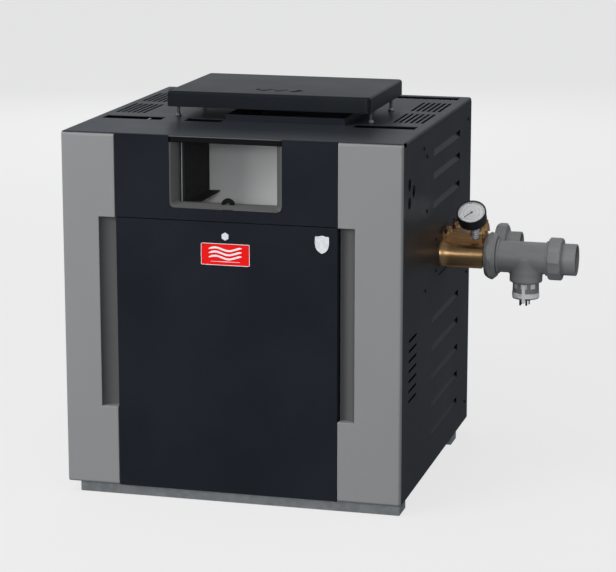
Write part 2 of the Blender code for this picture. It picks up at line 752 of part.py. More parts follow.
def leg_profile(build, name, origin, material):
    height = CAP_LIFT + CAP_HEIGHT - SHEET - 2 * GAP
    profile = [
        (0, height),
        (LEG_RADIUS, height),
        (LEG_RADIUS, LEG_FOOT_HEIGHT),
        (LEG_FOOT_RADIUS, LEG_FOOT_HEIGHT),
        (LEG_FOOT_RADIUS, 0),
        (0, 0),
    ]
    turned(build, name, profile, material, origin, 12)


# ---- heat exchanger, headers and chamber ----


def make_core(build, copper, brick):
    low = (-CORE_WIDTH / 2, CORE_Y - CORE_DEPTH / 2, CORE_BOTTOM)
    high = (CORE_WIDTH / 2, CORE_Y + CORE_DEPTH / 2, CORE_TOP)
    mesh = bmesh.new()
    box(mesh, low, high)
    core = build.part("heat_exchanger", mesh, copper)
    sheets = []
    for side in (-1, 1):
        ends = (side * SHEET_INNER, side * SHEET_OUTER)
        low = (min(ends), CORE_Y - SHEET_HALF_Y, SHEET_LOW)
        sheets.append((box, (low, (max(ends), CORE_Y + SHEET_HALF_Y, SHEET_HIGH))))
    middle = (CORE_BOTTOM + CORE_TOP) / 2
    places = [CORE_Y + TUBE_PITCH * (index - (TUBES - 1) / 2) for index in range(TUBES)]
    reach = SHEET_OUTER - JOINED
    pipes = [(rod, ((-reach, y, middle), (reach, y, middle), TUBE_RADIUS, 16)) for y in places]
    build.join(core, None, *sheets)
    build.join(core, None, *pipes)
    past = SHEET_OUTER + PAST
    bore = TUBE_RADIUS - TUBE_WALL
    bores = [(rod, ((-past, y, middle), (past, y, middle), bore, 12)) for y in places]
    build.cut(core, None, *bores)

    low_y, high_y = CORE_Y - CORE_DEPTH / 2, CORE_Y + CORE_DEPTH / 2
    half = CORE_WIDTH / 2
    top = CORE_BOTTOM - GAP
    walls = {
        "refractory_front": ((-half, low_y), (half, low_y + BRICK)),
        "refractory_back": ((-half, high_y - BRICK), (half, high_y)),
        "refractory_left": ((-half, low_y + BRICK + GAP), (-half + BRICK, high_y - BRICK - GAP)),
        "refractory_right": ((half - BRICK, low_y + BRICK + GAP), (half, high_y - BRICK - GAP)),
    }
    for name, (low, high) in walls.items():
        mesh = bmesh.new()
        box(mesh, (*low, CHAMBER_BOTTOM), (*high, top))
        build.part(name, mesh, brick)


def make_headers(build, bronze, iron):
    start = SHEET_OUTER + GAP
    low = (start, CORE_Y - SHEET_HALF_Y, SHEET_LOW)
    high = (HEADER_END, CORE_Y + SHEET_HALF_Y, SHEET_HIGH)
    mesh = bmesh.new()
    box(mesh, low, high)
    header = build.part("port_header", mesh, bronze)
    neck_y = (FRONT_PORT_Y + REAR_PORT_Y) / 2
    low = (HEADER_END - JOINED, neck_y - NECK_WIDTH / 2, PORT_Z - NECK_BOTTOM)
    build.join(header, box, low, (NECK_END, neck_y + NECK_WIDTH / 2, PORT_Z + NECK_TOP))
    for y, nut_x in ((FRONT_PORT_Y, FRONT_NUT_X), (REAR_PORT_Y, REAR_NUT_X)):
        collar = nut_x - COLLAR_LEAD
        inner = (HEADER_END - HEADER_WALL / 2, y, PORT_Z)
        build.join(header, rod, inner, (collar + JOINED, y, PORT_Z), SPIGOT_RADIUS, 32)
        end = (collar + COLLAR_LENGTH, y, PORT_Z)
        build.join(header, rod, (collar, y, PORT_Z), end, COLLAR_RADIUS, 32)
    foot = GAUGE_CENTRE - GAUGE_AXIS * (GAUGE_DEPTH + STEM_LENGTH)
    build.join(header, rod, foot - GAUGE_AXIS * BOSS_LENGTH, foot - GAUGE_AXIS * GAP, BOSS_RADIUS, 6)
    low = (start - PAST, CORE_Y - SHEET_HALF_Y + HEADER_WALL, SHEET_LOW + HEADER_WALL)
    high = (HEADER_END - HEADER_WALL, CORE_Y + SHEET_HALF_Y - HEADER_WALL, SHEET_HIGH - HEADER_WALL)
    build.cut(header, box, low, high)
    for y in (FRONT_PORT_Y, REAR_PORT_Y):
        inside = (HEADER_END - 2 * HEADER_WALL, y, PORT_Z)
        build.cut(header, rod, inside, (CABINET_WIDTH, y, PORT_Z), SPIGOT_BORE, 24)

    low = (-HEADER_END, CORE_Y - SHEET_HALF_Y, SHEET_LOW)
    high = (-start, CORE_Y + SHEET_HALF_Y, SHEET_HIGH)
    tray(build, "return_header", low, high, 0, 1, iron, HEADER_WALL)


def nut(build, name, x, y, corner, length, sides, material):
    """A union nut whose origin lies on the pipe's axis."""
    mesh = bmesh.new()
    rod(mesh, (x, y, PORT_Z), (x + length, y, PORT_Z), corner, sides)

    def end_edge(edge):
        first, second = (vert.co for vert in edge.verts)
        return abs(first.x - second.x) < TINY

    round_edges(mesh, end_edge, NUT_CHAMFER, 1)
    made = build.part(name, mesh, material, (x, y, PORT_Z))
    ends = ((x - PAST, y, PORT_Z), (x + length + PAST, y, PORT_Z))
    build.cut(made, rod, *ends, PIPE_RADIUS + NUT_CLEARANCE, 32)


def tube(build, name, x0, x1, y, material):
    mesh = bmesh.new()
    rod(mesh, (x0, y, PORT_Z), (x1, y, PORT_Z), PIPE_RADIUS, 32)
    made = build.part(name, mesh, material, (x0, y, PORT_Z))
    build.cut(made, rod, (x0 - PAST, y, PORT_Z), (x1 + PAST, y, PORT_Z), PIPE_BORE, 32)


def make_pipework(build, plastic):
    large = (NUT_CORNER, NUT_LENGTH, NUT_SIDES, plastic)
    nut(build, "outlet_header_nut", FRONT_NUT_X, FRONT_PORT_Y, *large)
    nut(build, "inlet_header_nut", REAR_NUT_X, REAR_PORT_Y, *large)
    small = (SMALL_NUT_CORNER, SMALL_NUT_LENGTH, SMALL_NUT_SIDES, plastic)
    nut(build, "outlet_union_nut", SMALL_NUT_X, FRONT_PORT_Y, *small)
    y = FRONT_PORT_Y
    mesh = bmesh.new()
    rod(mesh, (TEE_START, y, PORT_Z), (TEE_END, y, PORT_Z), PIPE_RADIUS, 32)
    tee = build.part("outlet_tee", mesh, plastic, (TEE_START, y, PORT_Z))
    middle = (BRANCH_X, y, PORT_Z)
    build.join(tee, rod, middle, (BRANCH_X, y, BRANCH_BOTTOM), BRANCH_RADIUS, 32)
    ends = ((TEE_START - PAST, y, PORT_Z), (TEE_END + PAST, y, PORT_Z))
    build.cut(tee, rod, *ends, PIPE_BORE, 32)
    build.cut(tee, rod, middle, (BRANCH_X, y, BRANCH_BOTTOM - PAST), BRANCH_BORE, 32)
    tube(build, "outlet_tail", TEE_END + GAP, TAIL_END, y, plastic)
    tube(build, "inlet_tail", REAR_TAIL_START, REAR_TAIL_END, REAR_PORT_Y, plastic)


def anode_window(mesh, turn):
    """A bar that cuts two windows, opposite each other, just under the rim of the anode cap."""
    wide, tall = ANODE_WINDOW
    high = BRANCH_BOTTOM - GAP - ANODE_RIM
    verts = box(mesh, (-PAST * 4, -wide / 2, high + ANODE_RIM - tall), (PAST * 4, wide / 2, high))
    turned_by = Matrix.Rotation(math.radians(turn), 3, "Z")
    bmesh.ops.rotate(mesh, verts=verts, matrix=turned_by)
    bmesh.ops.translate(mesh, verts=verts, vec=(BRANCH_X, FRONT_PORT_Y, 0))


def make_anode(build, plastic, zinc, black):
    y = FRONT_PORT_Y
    top = BRANCH_BOTTOM - GAP
    bottom = top - ANODE_HEIGHT
    inner = ANODE_RADIUS - ANODE_WALL
    profile = [
        (inner, ANODE_HEIGHT),
        (ANODE_RADIUS, ANODE_HEIGHT),
        (ANODE_RADIUS, 0),
        (ROD_RADIUS + GAP, 0),
        (ROD_RADIUS + GAP, ANODE_WALL),
        (inner, ANODE_WALL),
        (inner, ANODE_HEIGHT),
    ]
    cap = turned(build, "anode_cap", profile, plastic, (BRANCH_X, y, bottom), 32)
    for turn in (0, 45, 90, 135):
        build.cut(cap, anode_window, turn)
    mesh = bmesh.new()
    rod(mesh, (BRANCH_X, y, bottom - ROD_BELOW), (BRANCH_X, y, top + ROD_ABOVE), ROD_RADIUS, 16)
    build.part("anode_rod", mesh, zinc, (BRANCH_X, y, bottom))
    width, deep, thick = LUG_SIZE
    high = bottom - ROD_BELOW - GAP
    mesh = bmesh.new()
    low = (BRANCH_X - width / 2, y - deep / 2, high - thick)
    box(mesh, low, (BRANCH_X + width / 2, y + deep / 2, high))
    lug = build.part("bonding_lug", mesh, black, (BRANCH_X, y, bottom))
    thin, broad, tall = LUG_PRONG
    for side in (-1, 1):
        x = BRANCH_X + side * (width / 2 - thin)
        low = (x - thin / 2, y - broad / 2, high - thick - tall)
        build.join(lug, box, low, (x + thin / 2, y + broad / 2, high - thick / 2))


def make_gauge(build, black, dial_paint, needle_paint, glass, silver):
    tilt = math.radians(GAUGE_TILT)
    centre = GAUGE_CENTRE
    inner = GAUGE_RADIUS - GAUGE_RIM
    case = [
        (inner, 0),
        (GAUGE_RADIUS, 0),
        (GAUGE_RADIUS, -GAUGE_DEPTH),
        (0, -GAUGE_DEPTH),
        (0, -GAUGE_WELL),
        (inner, -GAUGE_WELL),
        (inner, 0),
    ]
    turned(build, "gauge_case", case, black, centre, 32, tilt)
    radius = inner - GAP
    dial = [(0, DIAL_THICKNESS), (radius, DIAL_THICKNESS), (radius, 0), (0, 0)]
    base = centre - GAUGE_AXIS * (GAUGE_WELL - GAP)
    turned(build, "gauge_dial", dial, dial_paint, base, 32, tilt)
    lens = [(0, LENS_THICKNESS), (radius, LENS_THICKNESS), (radius, 0), (0, 0)]
    turned(build, "gauge_lens", lens, glass, centre - GAUGE_AXIS * LENS_THICKNESS, 32, tilt)
    width, length, thick = NEEDLE_SIZE
    mesh = bmesh.new()
    box(mesh, (-width / 2, -NEEDLE_TAIL, 0), (width / 2, length - NEEDLE_TAIL, thick))
    bmesh.ops.rotate(mesh, verts=mesh.verts, matrix=Matrix.Rotation(math.radians(NEEDLE_REST), 3, "Z"))
    needle = build.part("gauge_needle", mesh, needle_paint)
    needle.location = base + GAUGE_AXIS * (DIAL_THICKNESS + NEEDLE_LIFT)
    needle.rotation_euler.x = tilt
    hub_low = needle.location + GAUGE_AXIS * thick / 2
    build.join(needle, rod, hub_low, hub_low + GAUGE_AXIS * thick * 1.3, NEEDLE_HUB, 12)
    stem = [
        (0, 0),
        (STEM_RADIUS, 0),
        (STEM_RADIUS, -STEM_LENGTH + 2 * GAP),
        (0, -STEM_LENGTH + 2 * GAP),
    ]
    top = centre - GAUGE_AXIS * (GAUGE_DEPTH + GAP)
    turned(build, "gauge_stem", stem, silver, top, 20, tilt)


# ---- burners and gas train ----


def burner_places():
    return [BURNER_PITCH * (index - (BURNERS - 1) / 2) for index in range(BURNERS)]


def make_burners(build, steel, iron):
    half = CORE_WIDTH / 2
    low_y = CORE_Y - CORE_DEPTH / 2
    low = (-half, low_y, TRAY_BOTTOM)
    high = (half, CORE_Y + CORE_DEPTH / 2, CHAMBER_BOTTOM - GAP)
    tray_box = tray(build, "burner_tray", low, high, 2, 1, steel)
    front = low_y - BURNER_REACH
    hole = BURNER_RADIUS + BURNER_CLEARANCE
    holes = [
        (rod, ((x, front, BURNER_Z), (x, low_y + PAST, BURNER_Z), hole, 20))
        for x in burner_places()
    ]
    build.cut(tray_box, None, *holes)
    end = low_y + BURNER_LENGTH - BURNER_REACH
    for index, x in enumerate(burner_places()):
        mesh = bmesh.new()
        rod(mesh, (x, front, BURNER_Z), (x, end, BURNER_Z), BURNER_RADIUS, 16)
        burner = build.part(f"burner_{index + 1}", mesh, steel, (x, front, BURNER_Z))
        inner_end = (x, end - BURNER_WALL, BURNER_Z)
        bore = BURNER_RADIUS - BURNER_WALL
        build.cut(burner, rod, (x, front - PAST, BURNER_Z), inner_end, bore, 16)
        low = (x - FLAME_SLOT / 2, low_y + FLAME_MARGIN, BURNER_Z)
        high = (x + FLAME_SLOT / 2, end - FLAME_MARGIN, BURNER_Z + 2 * BURNER_RADIUS)
        build.cut(burner, box, low, high)

    left = VALVE_X + VALVE_SIZE[0] / 2 + GAP
    right = burner_places()[-1] + MANIFOLD_PAST
    mesh = bmesh.new()
    rod(mesh, (left, MANIFOLD_Y, BURNER_Z), (right, MANIFOLD_Y, BURNER_Z), MANIFOLD_RADIUS, 20)
    manifold = build.part("gas_manifold", mesh, iron)
    tip = MANIFOLD_Y + MANIFOLD_RADIUS + SPUD_LENGTH
    spuds = [
        (rod, ((x, MANIFOLD_Y, BURNER_Z), (x, tip, BURNER_Z), SPUD_RADIUS, 8))
        for x in burner_places()
    ]
    build.join(manifold, None, *spuds)


def make_gas_train(build, aluminium, red, iron, ceramic):
    size = Vector(VALVE_SIZE)
    middle = Vector((VALVE_X, MANIFOLD_Y, BURNER_Z))
    mesh = bmesh.new()
    box(mesh, middle - size / 2, middle + size / 2)
    round_edges(mesh, upright, VALVE_RADIUS, 2)
    build.part("gas_valve", mesh, aluminium)
    top = middle.z + size.z / 2 + GAP
    mesh = bmesh.new()
    rod(mesh, (middle.x, middle.y, top), (middle.x, middle.y, top + KNOB_HEIGHT), KNOB_RADIUS, 24)
    knob = build.part("gas_valve_knob", mesh, red, (middle.x, middle.y, top))
    grips = []
    for index in range(KNOB_FLUTES):
        turn = 2 * math.pi * index / KNOB_FLUTES
        x = middle.x + KNOB_RADIUS * math.cos(turn)
        y = middle.y + KNOB_RADIUS * math.sin(turn)
        start = (x, y, top + KNOB_SKIRT)
        grips.append((rod, (start, (x, y, top + KNOB_HEIGHT + PAST), KNOB_FLUTE, 8)))
    build.cut(knob, None, *grips)
    mesh = bmesh.new()
    end = (-HALF_W, middle.y, middle.z)
    rod(mesh, (middle.x - size.x / 2 - GAP, middle.y, middle.z), end, GAS_PIPE_RADIUS, 24)
    pipe = build.part("gas_inlet_pipe", mesh, iron)
    start = (middle.x - size.x / 2 - GAS_PIPE_START, middle.y, middle.z)
    bore = GAS_PIPE_RADIUS - GAS_PIPE_WALL
    build.cut(pipe, rod, start, (-HALF_W - PAST, middle.y, middle.z), bore, 24)
    x = (burner_places()[0] + burner_places()[1]) / 2
    y = CORE_Y - CORE_DEPTH / 2 + BRICK + IGNITER_INSET
    low = TRAY_BOTTOM + SHEET + GAP
    height = BURNER_Z + IGNITER_RISE - low
    profile = [
        (0, height),
        (IGNITER_RADIUS * 0.6, height),
        (IGNITER_RADIUS, height * 0.8),
        (IGNITER_RADIUS, 0),
        (0, 0),
    ]
    turned(build, "igniter", profile, ceramic, (x, y, low), 16)


def make_electrics(build, galvanised, iron, board):
    size = Vector(JUNCTION_SIZE)
    right = HALF_W - SHEET - GAP
    low = (right - size.x, JUNCTION_Y - size.y / 2, JUNCTION_Z - size.z / 2)
    high = (right, JUNCTION_Y + size.y / 2, JUNCTION_Z + size.z / 2)
    tray(build, "junction_box", low, high, 0, 1, galvanised)
    size = Vector(TRANSFORMER_SIZE)
    left = low[0] - GAP - size.x
    mesh = bmesh.new()
    box(mesh, (left, low[1], low[2]), (left + size.x, low[1] + size.y, low[2] + size.z))
    build.part("transformer", mesh, iron)
    # The board stands on edge beside the bay, where the door hides it.
    size = Vector(BOARD_SIZE)
    right = WINDOW_LEFT + BAY_SIDE_INSET - BOARD_STANDOFF
    y = DOOR_FRONT + DOOR_DEPTH + BAY_GAP + BAY_DEPTH / 2
    mesh = bmesh.new()
    low = (right - size.x, y - size.y / 2, BOARD_Z - size.z / 2)
    box(mesh, low, (right, y + size.y / 2, BOARD_Z + size.z / 2))
    build.part("control_board", mesh, board)


def main():
    clear_scene()
    build = Builder()
    dark_steel = make_material("powder_coated_dark_steel", (0.012, 0.016, 0.021), 0.45)
    grey_steel = make_material("powder_coated_grey_steel", (0.075, 0.077, 0.080), 0.5)
    galvanised = make_material("galvanised_steel", (0.30, 0.31, 0.32), 0.45, 0.8)
    trim_plastic = make_material("grey_abs_plastic", (0.235, 0.235, 0.235), 0.5)
    bezel_plastic = make_material("dark_abs_plastic", (0.10, 0.10, 0.10), 0.5)
    bay_steel = make_material("grey_painted_bay_steel", (0.20, 0.20, 0.20), 0.55)
    rubber = make_material("black_rubber", (0.01, 0.01, 0.01), 0.7)
    red = make_material("red_enamel", (0.75, 0.01, 0.01), 0.35)
    silver = make_material("silver_foil", (0.6, 0.6, 0.6), 0.3, 0.6)
    zinc = make_material("zinc_plated_steel", (0.6, 0.6, 0.6), 0.3, 0.9)
    copper = make_material("copper_fins", (0.60, 0.28, 0.15), 0.35, 1.0)
    brick = make_material("ceramic_fibre", (0.75, 0.72, 0.66), 0.95)
    bronze = make_material("bronze_casting", (0.45, 0.27, 0.10), 0.35, 1.0)
    iron = make_material("cast_iron", (0.05, 0.05, 0.05), 0.6, 0.4)
    pipe_plastic = make_material("grey_cpvc_plastic", (0.15, 0.15, 0.15), 0.5)
    black = make_material("black_painted_steel", (0.012, 0.012, 0.012), 0.4)
    dial_paint = make_material("white_dial_enamel", (0.70, 0.70, 0.70), 0.4)
    needle_paint = make_material("black_needle_paint", (0.01, 0.01, 0.01), 0.4)
    glass = make_material("clear_glass", (0.9, 0.9, 0.9), 0.05, 0.0, 0.2)
    aluminium = make_material("cast_aluminium", (0.45, 0.45, 0.46), 0.45, 0.9)
    board = make_material("green_circuit_board", (0.02, 0.12, 0.05), 0.5)

    make_base(build, galvanised)
    make_sides(build, dark_steel)
    make_top(build, grey_steel)
    make_trims(build, trim_plastic)
    make_door(build, dark_steel, red, silver, zinc)
    make_window(build, dark_steel, bezel_plastic, bay_steel, rubber)
    make_flue(build, galvanised, grey_steel, zinc)
    make_core(build, copper, brick)
    make_headers(build, bronze, iron)
    make_pipework(build, pipe_plastic)
    make_anode(build, pipe_plastic, zinc, black)
    make_gauge(build, black, dial_paint, needle_paint, glass, zinc)
    make_burners(build, galvanised, iron)
    make_gas_train(build, aluminium, red, iron, brick)
    make_electrics(build, galvanised, iron, board)


main()
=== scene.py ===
"""Gas pool heater: the finished look of the cabinet, its pipework and what is inside it.

The packed model gives every place and size. Each group of pieces has its own operator, and the
panel in the sidebar lists them in the order in which they are made.
"""

import json
import math

import bmesh
import bpy
from mathutils import Matrix, Vector


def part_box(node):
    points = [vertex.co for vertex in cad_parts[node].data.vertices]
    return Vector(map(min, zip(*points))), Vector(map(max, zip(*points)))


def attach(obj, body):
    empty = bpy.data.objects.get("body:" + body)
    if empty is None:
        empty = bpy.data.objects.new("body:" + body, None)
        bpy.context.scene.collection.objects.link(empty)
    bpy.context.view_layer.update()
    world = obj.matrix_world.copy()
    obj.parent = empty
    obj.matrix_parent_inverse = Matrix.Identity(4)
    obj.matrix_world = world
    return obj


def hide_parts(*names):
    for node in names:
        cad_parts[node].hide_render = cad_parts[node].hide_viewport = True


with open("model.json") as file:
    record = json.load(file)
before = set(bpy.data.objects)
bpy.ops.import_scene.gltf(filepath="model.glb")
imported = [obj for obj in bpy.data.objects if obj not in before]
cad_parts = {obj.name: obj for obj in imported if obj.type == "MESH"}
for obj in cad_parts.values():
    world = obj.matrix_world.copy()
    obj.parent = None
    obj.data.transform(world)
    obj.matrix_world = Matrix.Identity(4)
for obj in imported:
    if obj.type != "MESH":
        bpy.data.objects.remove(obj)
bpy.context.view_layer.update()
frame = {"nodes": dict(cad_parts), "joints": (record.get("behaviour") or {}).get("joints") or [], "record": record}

bl_info = {
    "name": "Gas Pool Heater",
    "version": (1, 0, 0),
    "blender": (4, 5, 0),
    "location": "3D View > Sidebar > Pool Heater",
    "description": "Builds the finish, fittings and stage of a gas pool heater",
    "category": "Object",
}

ROOT = "cabinet"
MM = 0.001


def linear(hexadecimal):
    """A colour written as sRGB hex, as the linear values that a shader takes."""
    parts = [int(hexadecimal[i : i + 2], 16) / 255 for i in (0, 2, 4)]
    return tuple(c / 12.92 if c <= 0.04045 else ((c + 0.055) / 1.055) ** 2.4 for c in parts)


def middle(name):
    low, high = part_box(name)
    return (low + high) / 2


def size_of(name):
    low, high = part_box(name)
    return high - low


# ---- sizes and colours that a user would change ----


def colour(name, description, default):
    return bpy.props.FloatVectorProperty(
        name=name,
        description=description,
        subtype="COLOR",
        size=3,
        min=0,
        max=1,
        default=linear(default),
    )


def length(name, description, millimetres):
    return bpy.props.FloatProperty(
        name=name,
        description=description,
        unit="LENGTH",
        min=0,
        default=millimetres * MM,
    )


def count(name, description, default):
    return bpy.props.IntProperty(name=name, description=description, min=1, default=default)


class HeaterFinish(bpy.types.PropertyGroup):
    """Colours of the finishes."""

    cabinet: colour("Cabinet paint", "Powder coat of the door, sides and back", "191D23")
    # The top paint is lighter than the cabinet's: it paints the light falling on the top sheet from above.
    top: colour("Top paint", "Powder coat of the top sheet, lightened to paint the light from above", "2E3135")
    cap: colour("Cap paint", "Powder coat of the vent cap", "15181C")
    trim: colour("Corner trims", "Moulded plastic of the two corner columns", "8C8C8C")
    bezel: colour("Window frame", "Moulded plastic round the control window", "5C5C5C")
    bay: colour("Control bay", "Paint inside the control bay", "CFCFCF")
    zinc: colour("Galvanised sheet", "Zinc of the base rails and the flue", "A9ABAC")
    badge: colour("Badge enamel", "Enamel of the badge and the valve knob", "F40A0A")
    bronze: colour("Bronze", "Cast water header and its spigots", "D6AD7C")
    pipe: colour("Pipe plastic", "Moulded unions, tee and tails", "929292")
    copper: colour("Copper", "Fins and tubes of the heat exchanger", "C98058")


class HeaterFasteners(bpy.types.PropertyGroup):
    """Sizes of the screws and bolts."""

    screw_across: length("Screw across flats", "Width of a sheet-metal screw's hexagon", 7.9)
    screw_height: length("Screw height", "Height of a sheet-metal screw's hexagon", 3.6)
    washer_diameter: length("Washer diameter", "Diameter of the screw's own washer", 11.0)
    washer_height: length("Washer height", "Thickness of the screw's own washer", 0.9)
    bolt_across: length("Bolt across flats", "Width of a header bolt's hexagon", 11.0)
    bolt_height: length("Bolt height", "Height of a header bolt's hexagon", 5.5)
    edge_radius: length("Folded edge radius", "Radius left along the folds and cut edges", 0.8)


class HeaterPipework(bpy.types.PropertyGroup):
    """Sizes of the pipe fittings."""

    nut_chamfer: length("Nut chamfer", "Length of the cone at each end of a union nut", 9.5)
    thread_pitch: length("Thread pitch", "Pitch of the threads on the stem and the anode plug", 1.8)
    tee_blend: length("Tee grain", "Grid on which the tee's moulded blend is made", 1.6)
    segments: count("Segments", "Sides of a round fitting", 96)


class HeaterExchanger(bpy.types.PropertyGroup):
    """Sizes of the finned core and the burners."""

    fin_pitch: length("Fin pitch", "Distance from fin to fin", 3.2)
    fin_thickness: length("Fin thickness", "Thickness of one copper fin", 0.4)
    port_pitch: length("Flame port pitch", "Distance between the flame ports of a burner", 6.0)
    port_length: length("Flame port length", "Length of one flame port across a burner", 9.0)


class HeaterDial(bpy.types.PropertyGroup):
    """Marks of the pressure gauge."""

    ticks: count("Marks", "Marks round the dial", 31)
    sweep: bpy.props.FloatProperty(
        name="Sweep",
        description="Angle from the first mark to the last",
        subtype="ANGLE",
        default=math.radians(270),
    )
    tick_width: length("Mark width", "Width of one mark", 0.45)
    tick_length: length("Mark length", "Length of one mark", 2.6)


class HeaterStage(bpy.types.PropertyGroup):
    """Floor, light and camera."""

    floor: colour("Floor", "Plain pale floor", "E6E6E6")
    lens: bpy.props.FloatProperty(
        name="Focal length",
        description="Focal length of the camera, on a 36 mm sensor",
        subtype="DISTANCE_CAMERA",
        default=136.4,
    )
    sky: bpy.props.FloatProperty(
        name="Studio light", description="Strength of the soft light all round", default=1.0
    )


GROUPS = {
    "heater_finish": HeaterFinish,
    "heater_fasteners": HeaterFasteners,
    "heater_pipework": HeaterPipework,
    "heater_exchanger": HeaterExchanger,
    "heater_dial": HeaterDial,
    "heater_stage": HeaterStage,
}


# Height on the sky, from 0 straight down to 1 straight up, and how bright it is there.
SKY_BANDS = ((0.50, 0.14), (0.53, 0.18), (0.57, 0.46), (0.66, 0.46), (0.78, 0.25))
SKY_BELOW = (0.12, 0.135, 0.155, 1)
SKY_ABOVE = (0.22, 0.22, 0.225, 1)
SKY_TINT = (0.95, 1.0, 1.06)
# Name, place, width in metres, power in watts, and whether it shows in a reflection.
SOFTBOXES = (
    ("left_softbox", (-3.0, -4.0, 2.0), 2.6, 165.0, False),
    ("right_softbox", (2.2, -4.6, 2.4), 2.6, 28.0, False),
    ("camera_light", (0.7, -4.4, 1.5), 0.5, 26.0, True),
    ("top_softbox", (-0.5, -0.9, 3.4), 2.0, 34.0, False),
    ("rear_softbox", (-1.6, 4.4, 2.2), 2.6, 80.0, False),
    ("side_softbox", (4.6, 0.6, 1.8), 2.0, 14.0, False),
)
LIGHTS_AIM = Vector((0, 0, 0.4))
# The floor is mostly its own light, so that it stays one plain tone under the object.
FLOOR_HALF_WIDTH = 40.0
FLOOR_DROP = 0.5 * MM
FLOOR_LIT_SHARE = 0.14
FLOOR_GLOW = 0.935
CAMERA_PLACE = (1.05378, -4.23784, 1.31522)
CAMERA_TURN = (77.5413, 0.0, 14.8037)
CAMERA_REACH = 200.0


# ---- nodes ----


def node(tree, kind, inputs=None, **settings):
    """Adds one node. An input that is given a socket is linked, and any other value is set."""
    made = tree.nodes.new(kind)
    for name, value in settings.items():
        setattr(made, name, value)
    for key, value in (inputs or {}).items():
        for item in value if isinstance(value, list) else [value]:
            if isinstance(item, bpy.types.NodeSocket):
                tree.links.new(item, made.inputs[key])
            else:
                made.inputs[key].default_value = item
    return made


# ---- materials ----

# A texture's own Scale for a pattern that repeats every millimetre. A wave repeats every pi / 10.
PER_MM = {
    "ShaderNodeTexNoise": 1000.0,
    "ShaderNodeTexVoronoi": 1000.0,
    "ShaderNodeTexWave": 1000.0 * math.pi / 10,
}
NOISE, CELLS, WAVES = PER_MM


def surface(name, base, roughness, layers, **shader):
    """A Principled material. Each layer is one pattern, which may tint, roughen and raise it.

    size is the pattern's real size in millimetres, stretch its proportions, tint and share the
    colour it adds and how much, between the pattern values low and high, rough the change in
    roughness from end to end, and relief its height in millimetres.
    """
    material = bpy.data.materials.new(name)
    material.use_nodes = True
    tree = material.node_tree
    principled = tree.nodes["Principled BSDF"]
    for key, value in shader.items():
        principled.inputs[key.replace("_", " ")].default_value = value
    place = node(tree, "ShaderNodeTexCoord").outputs["Object"]
    shade, rough, normal = (*base, 1.0), roughness, None
    for layer in layers:
        kind = layer.get("kind", NOISE)
        spread = node(
            tree,
            "ShaderNodeMapping",
            {
                "Vector": place,
                "Rotation": [Vector(layer.get("turn", (0, 0, 0)))],
                "Scale": [Vector(layer.get("stretch", (1, 1, 1)))],
            },
        )
        given = {"Vector": spread.outputs[0], "Scale": PER_MM[kind] / layer["size"]}
        texture = node(tree, kind, {**given, **layer.get("inputs", {})}, **layer.get("set", {}))
        value = texture.outputs[layer.get("output", 0)]
        ranged = node(
            tree,
            "ShaderNodeMapRange",
            {0: value, 1: layer.get("low", 0.3), 2: layer.get("high", 0.7), 3: 0.0, 4: 1.0},
        ).outputs[0]
        if "tint" in layer:
            share = node(
                tree, "ShaderNodeMath", {0: ranged, 1: layer["share"]}, operation="MULTIPLY"
            )
            mixed = node(
                tree,
                "ShaderNodeMix",
                {0: share.outputs[0], 6: shade, 7: (*linear(layer["tint"]), 1.0)},
                data_type="RGBA",
            )
            shade = mixed.outputs[2]
        if "rough" in layer:
            added = node(
                tree,
                "ShaderNodeMath",
                {0: ranged, 1: layer["rough"], 2: rough},
                operation="MULTIPLY_ADD",
            )
            rough = added.outputs[0]
        if "relief" in layer:
            heights = {"Height": value, "Distance": layer["relief"] * MM, "Strength": 1.0}
            if normal is not None:
                heights["Normal"] = normal
            normal = node(tree, "ShaderNodeBump", heights).outputs[0]
    for key, value in (("Base Color", shade), ("Roughness", rough), ("Normal", normal)):
        if isinstance(value, bpy.types.NodeSocket):
            tree.links.new(value, principled.inputs[key])
        elif value is not None:
            principled.inputs[key].default_value = value
    return material


def coated_steel(name, base, roughness):
    """Powder-coated steel sheet. Baked powder flows into a fine orange peel, real size 1 to 2 mm,
    drawn at 3 mm so that it shows, with slow drifts in gloss where the coat is thicker, and a
    film of pale dust that breaks up wide flat faces."""
    return surface(
        name,
        base,
        roughness,
        [
            {"size": 3.0, "relief": 0.012, "inputs": {"Detail": 1.0}},
            {"size": 160, "rough": 0.06, "tint": "3A4048", "share": 0.10},
            {"size": 0.9, "low": 0.62, "high": 0.75, "tint": "6F757C", "share": 0.10},
        ],
        Specular_IOR_Level=0.22,
    )


def moulded_plastic(name, base, roughness, grain, tint):
    """Injection-moulded plastic. An etched mould leaves a fine even grain, and cooling leaves
    faint cloudy patches in the gloss."""
    return surface(
        name,
        base,
        roughness,
        [
            {"size": grain, "relief": 0.02, "inputs": {"Detail": 2.0}},
            {"size": grain * 0.6, "tint": tint, "share": 0.14, "low": 0.45, "high": 0.65},
            {"size": 90, "rough": 0.08, "tint": tint, "share": 0.10},
        ],
        Specular_IOR_Level=0.35,
        IOR=1.53,
    )


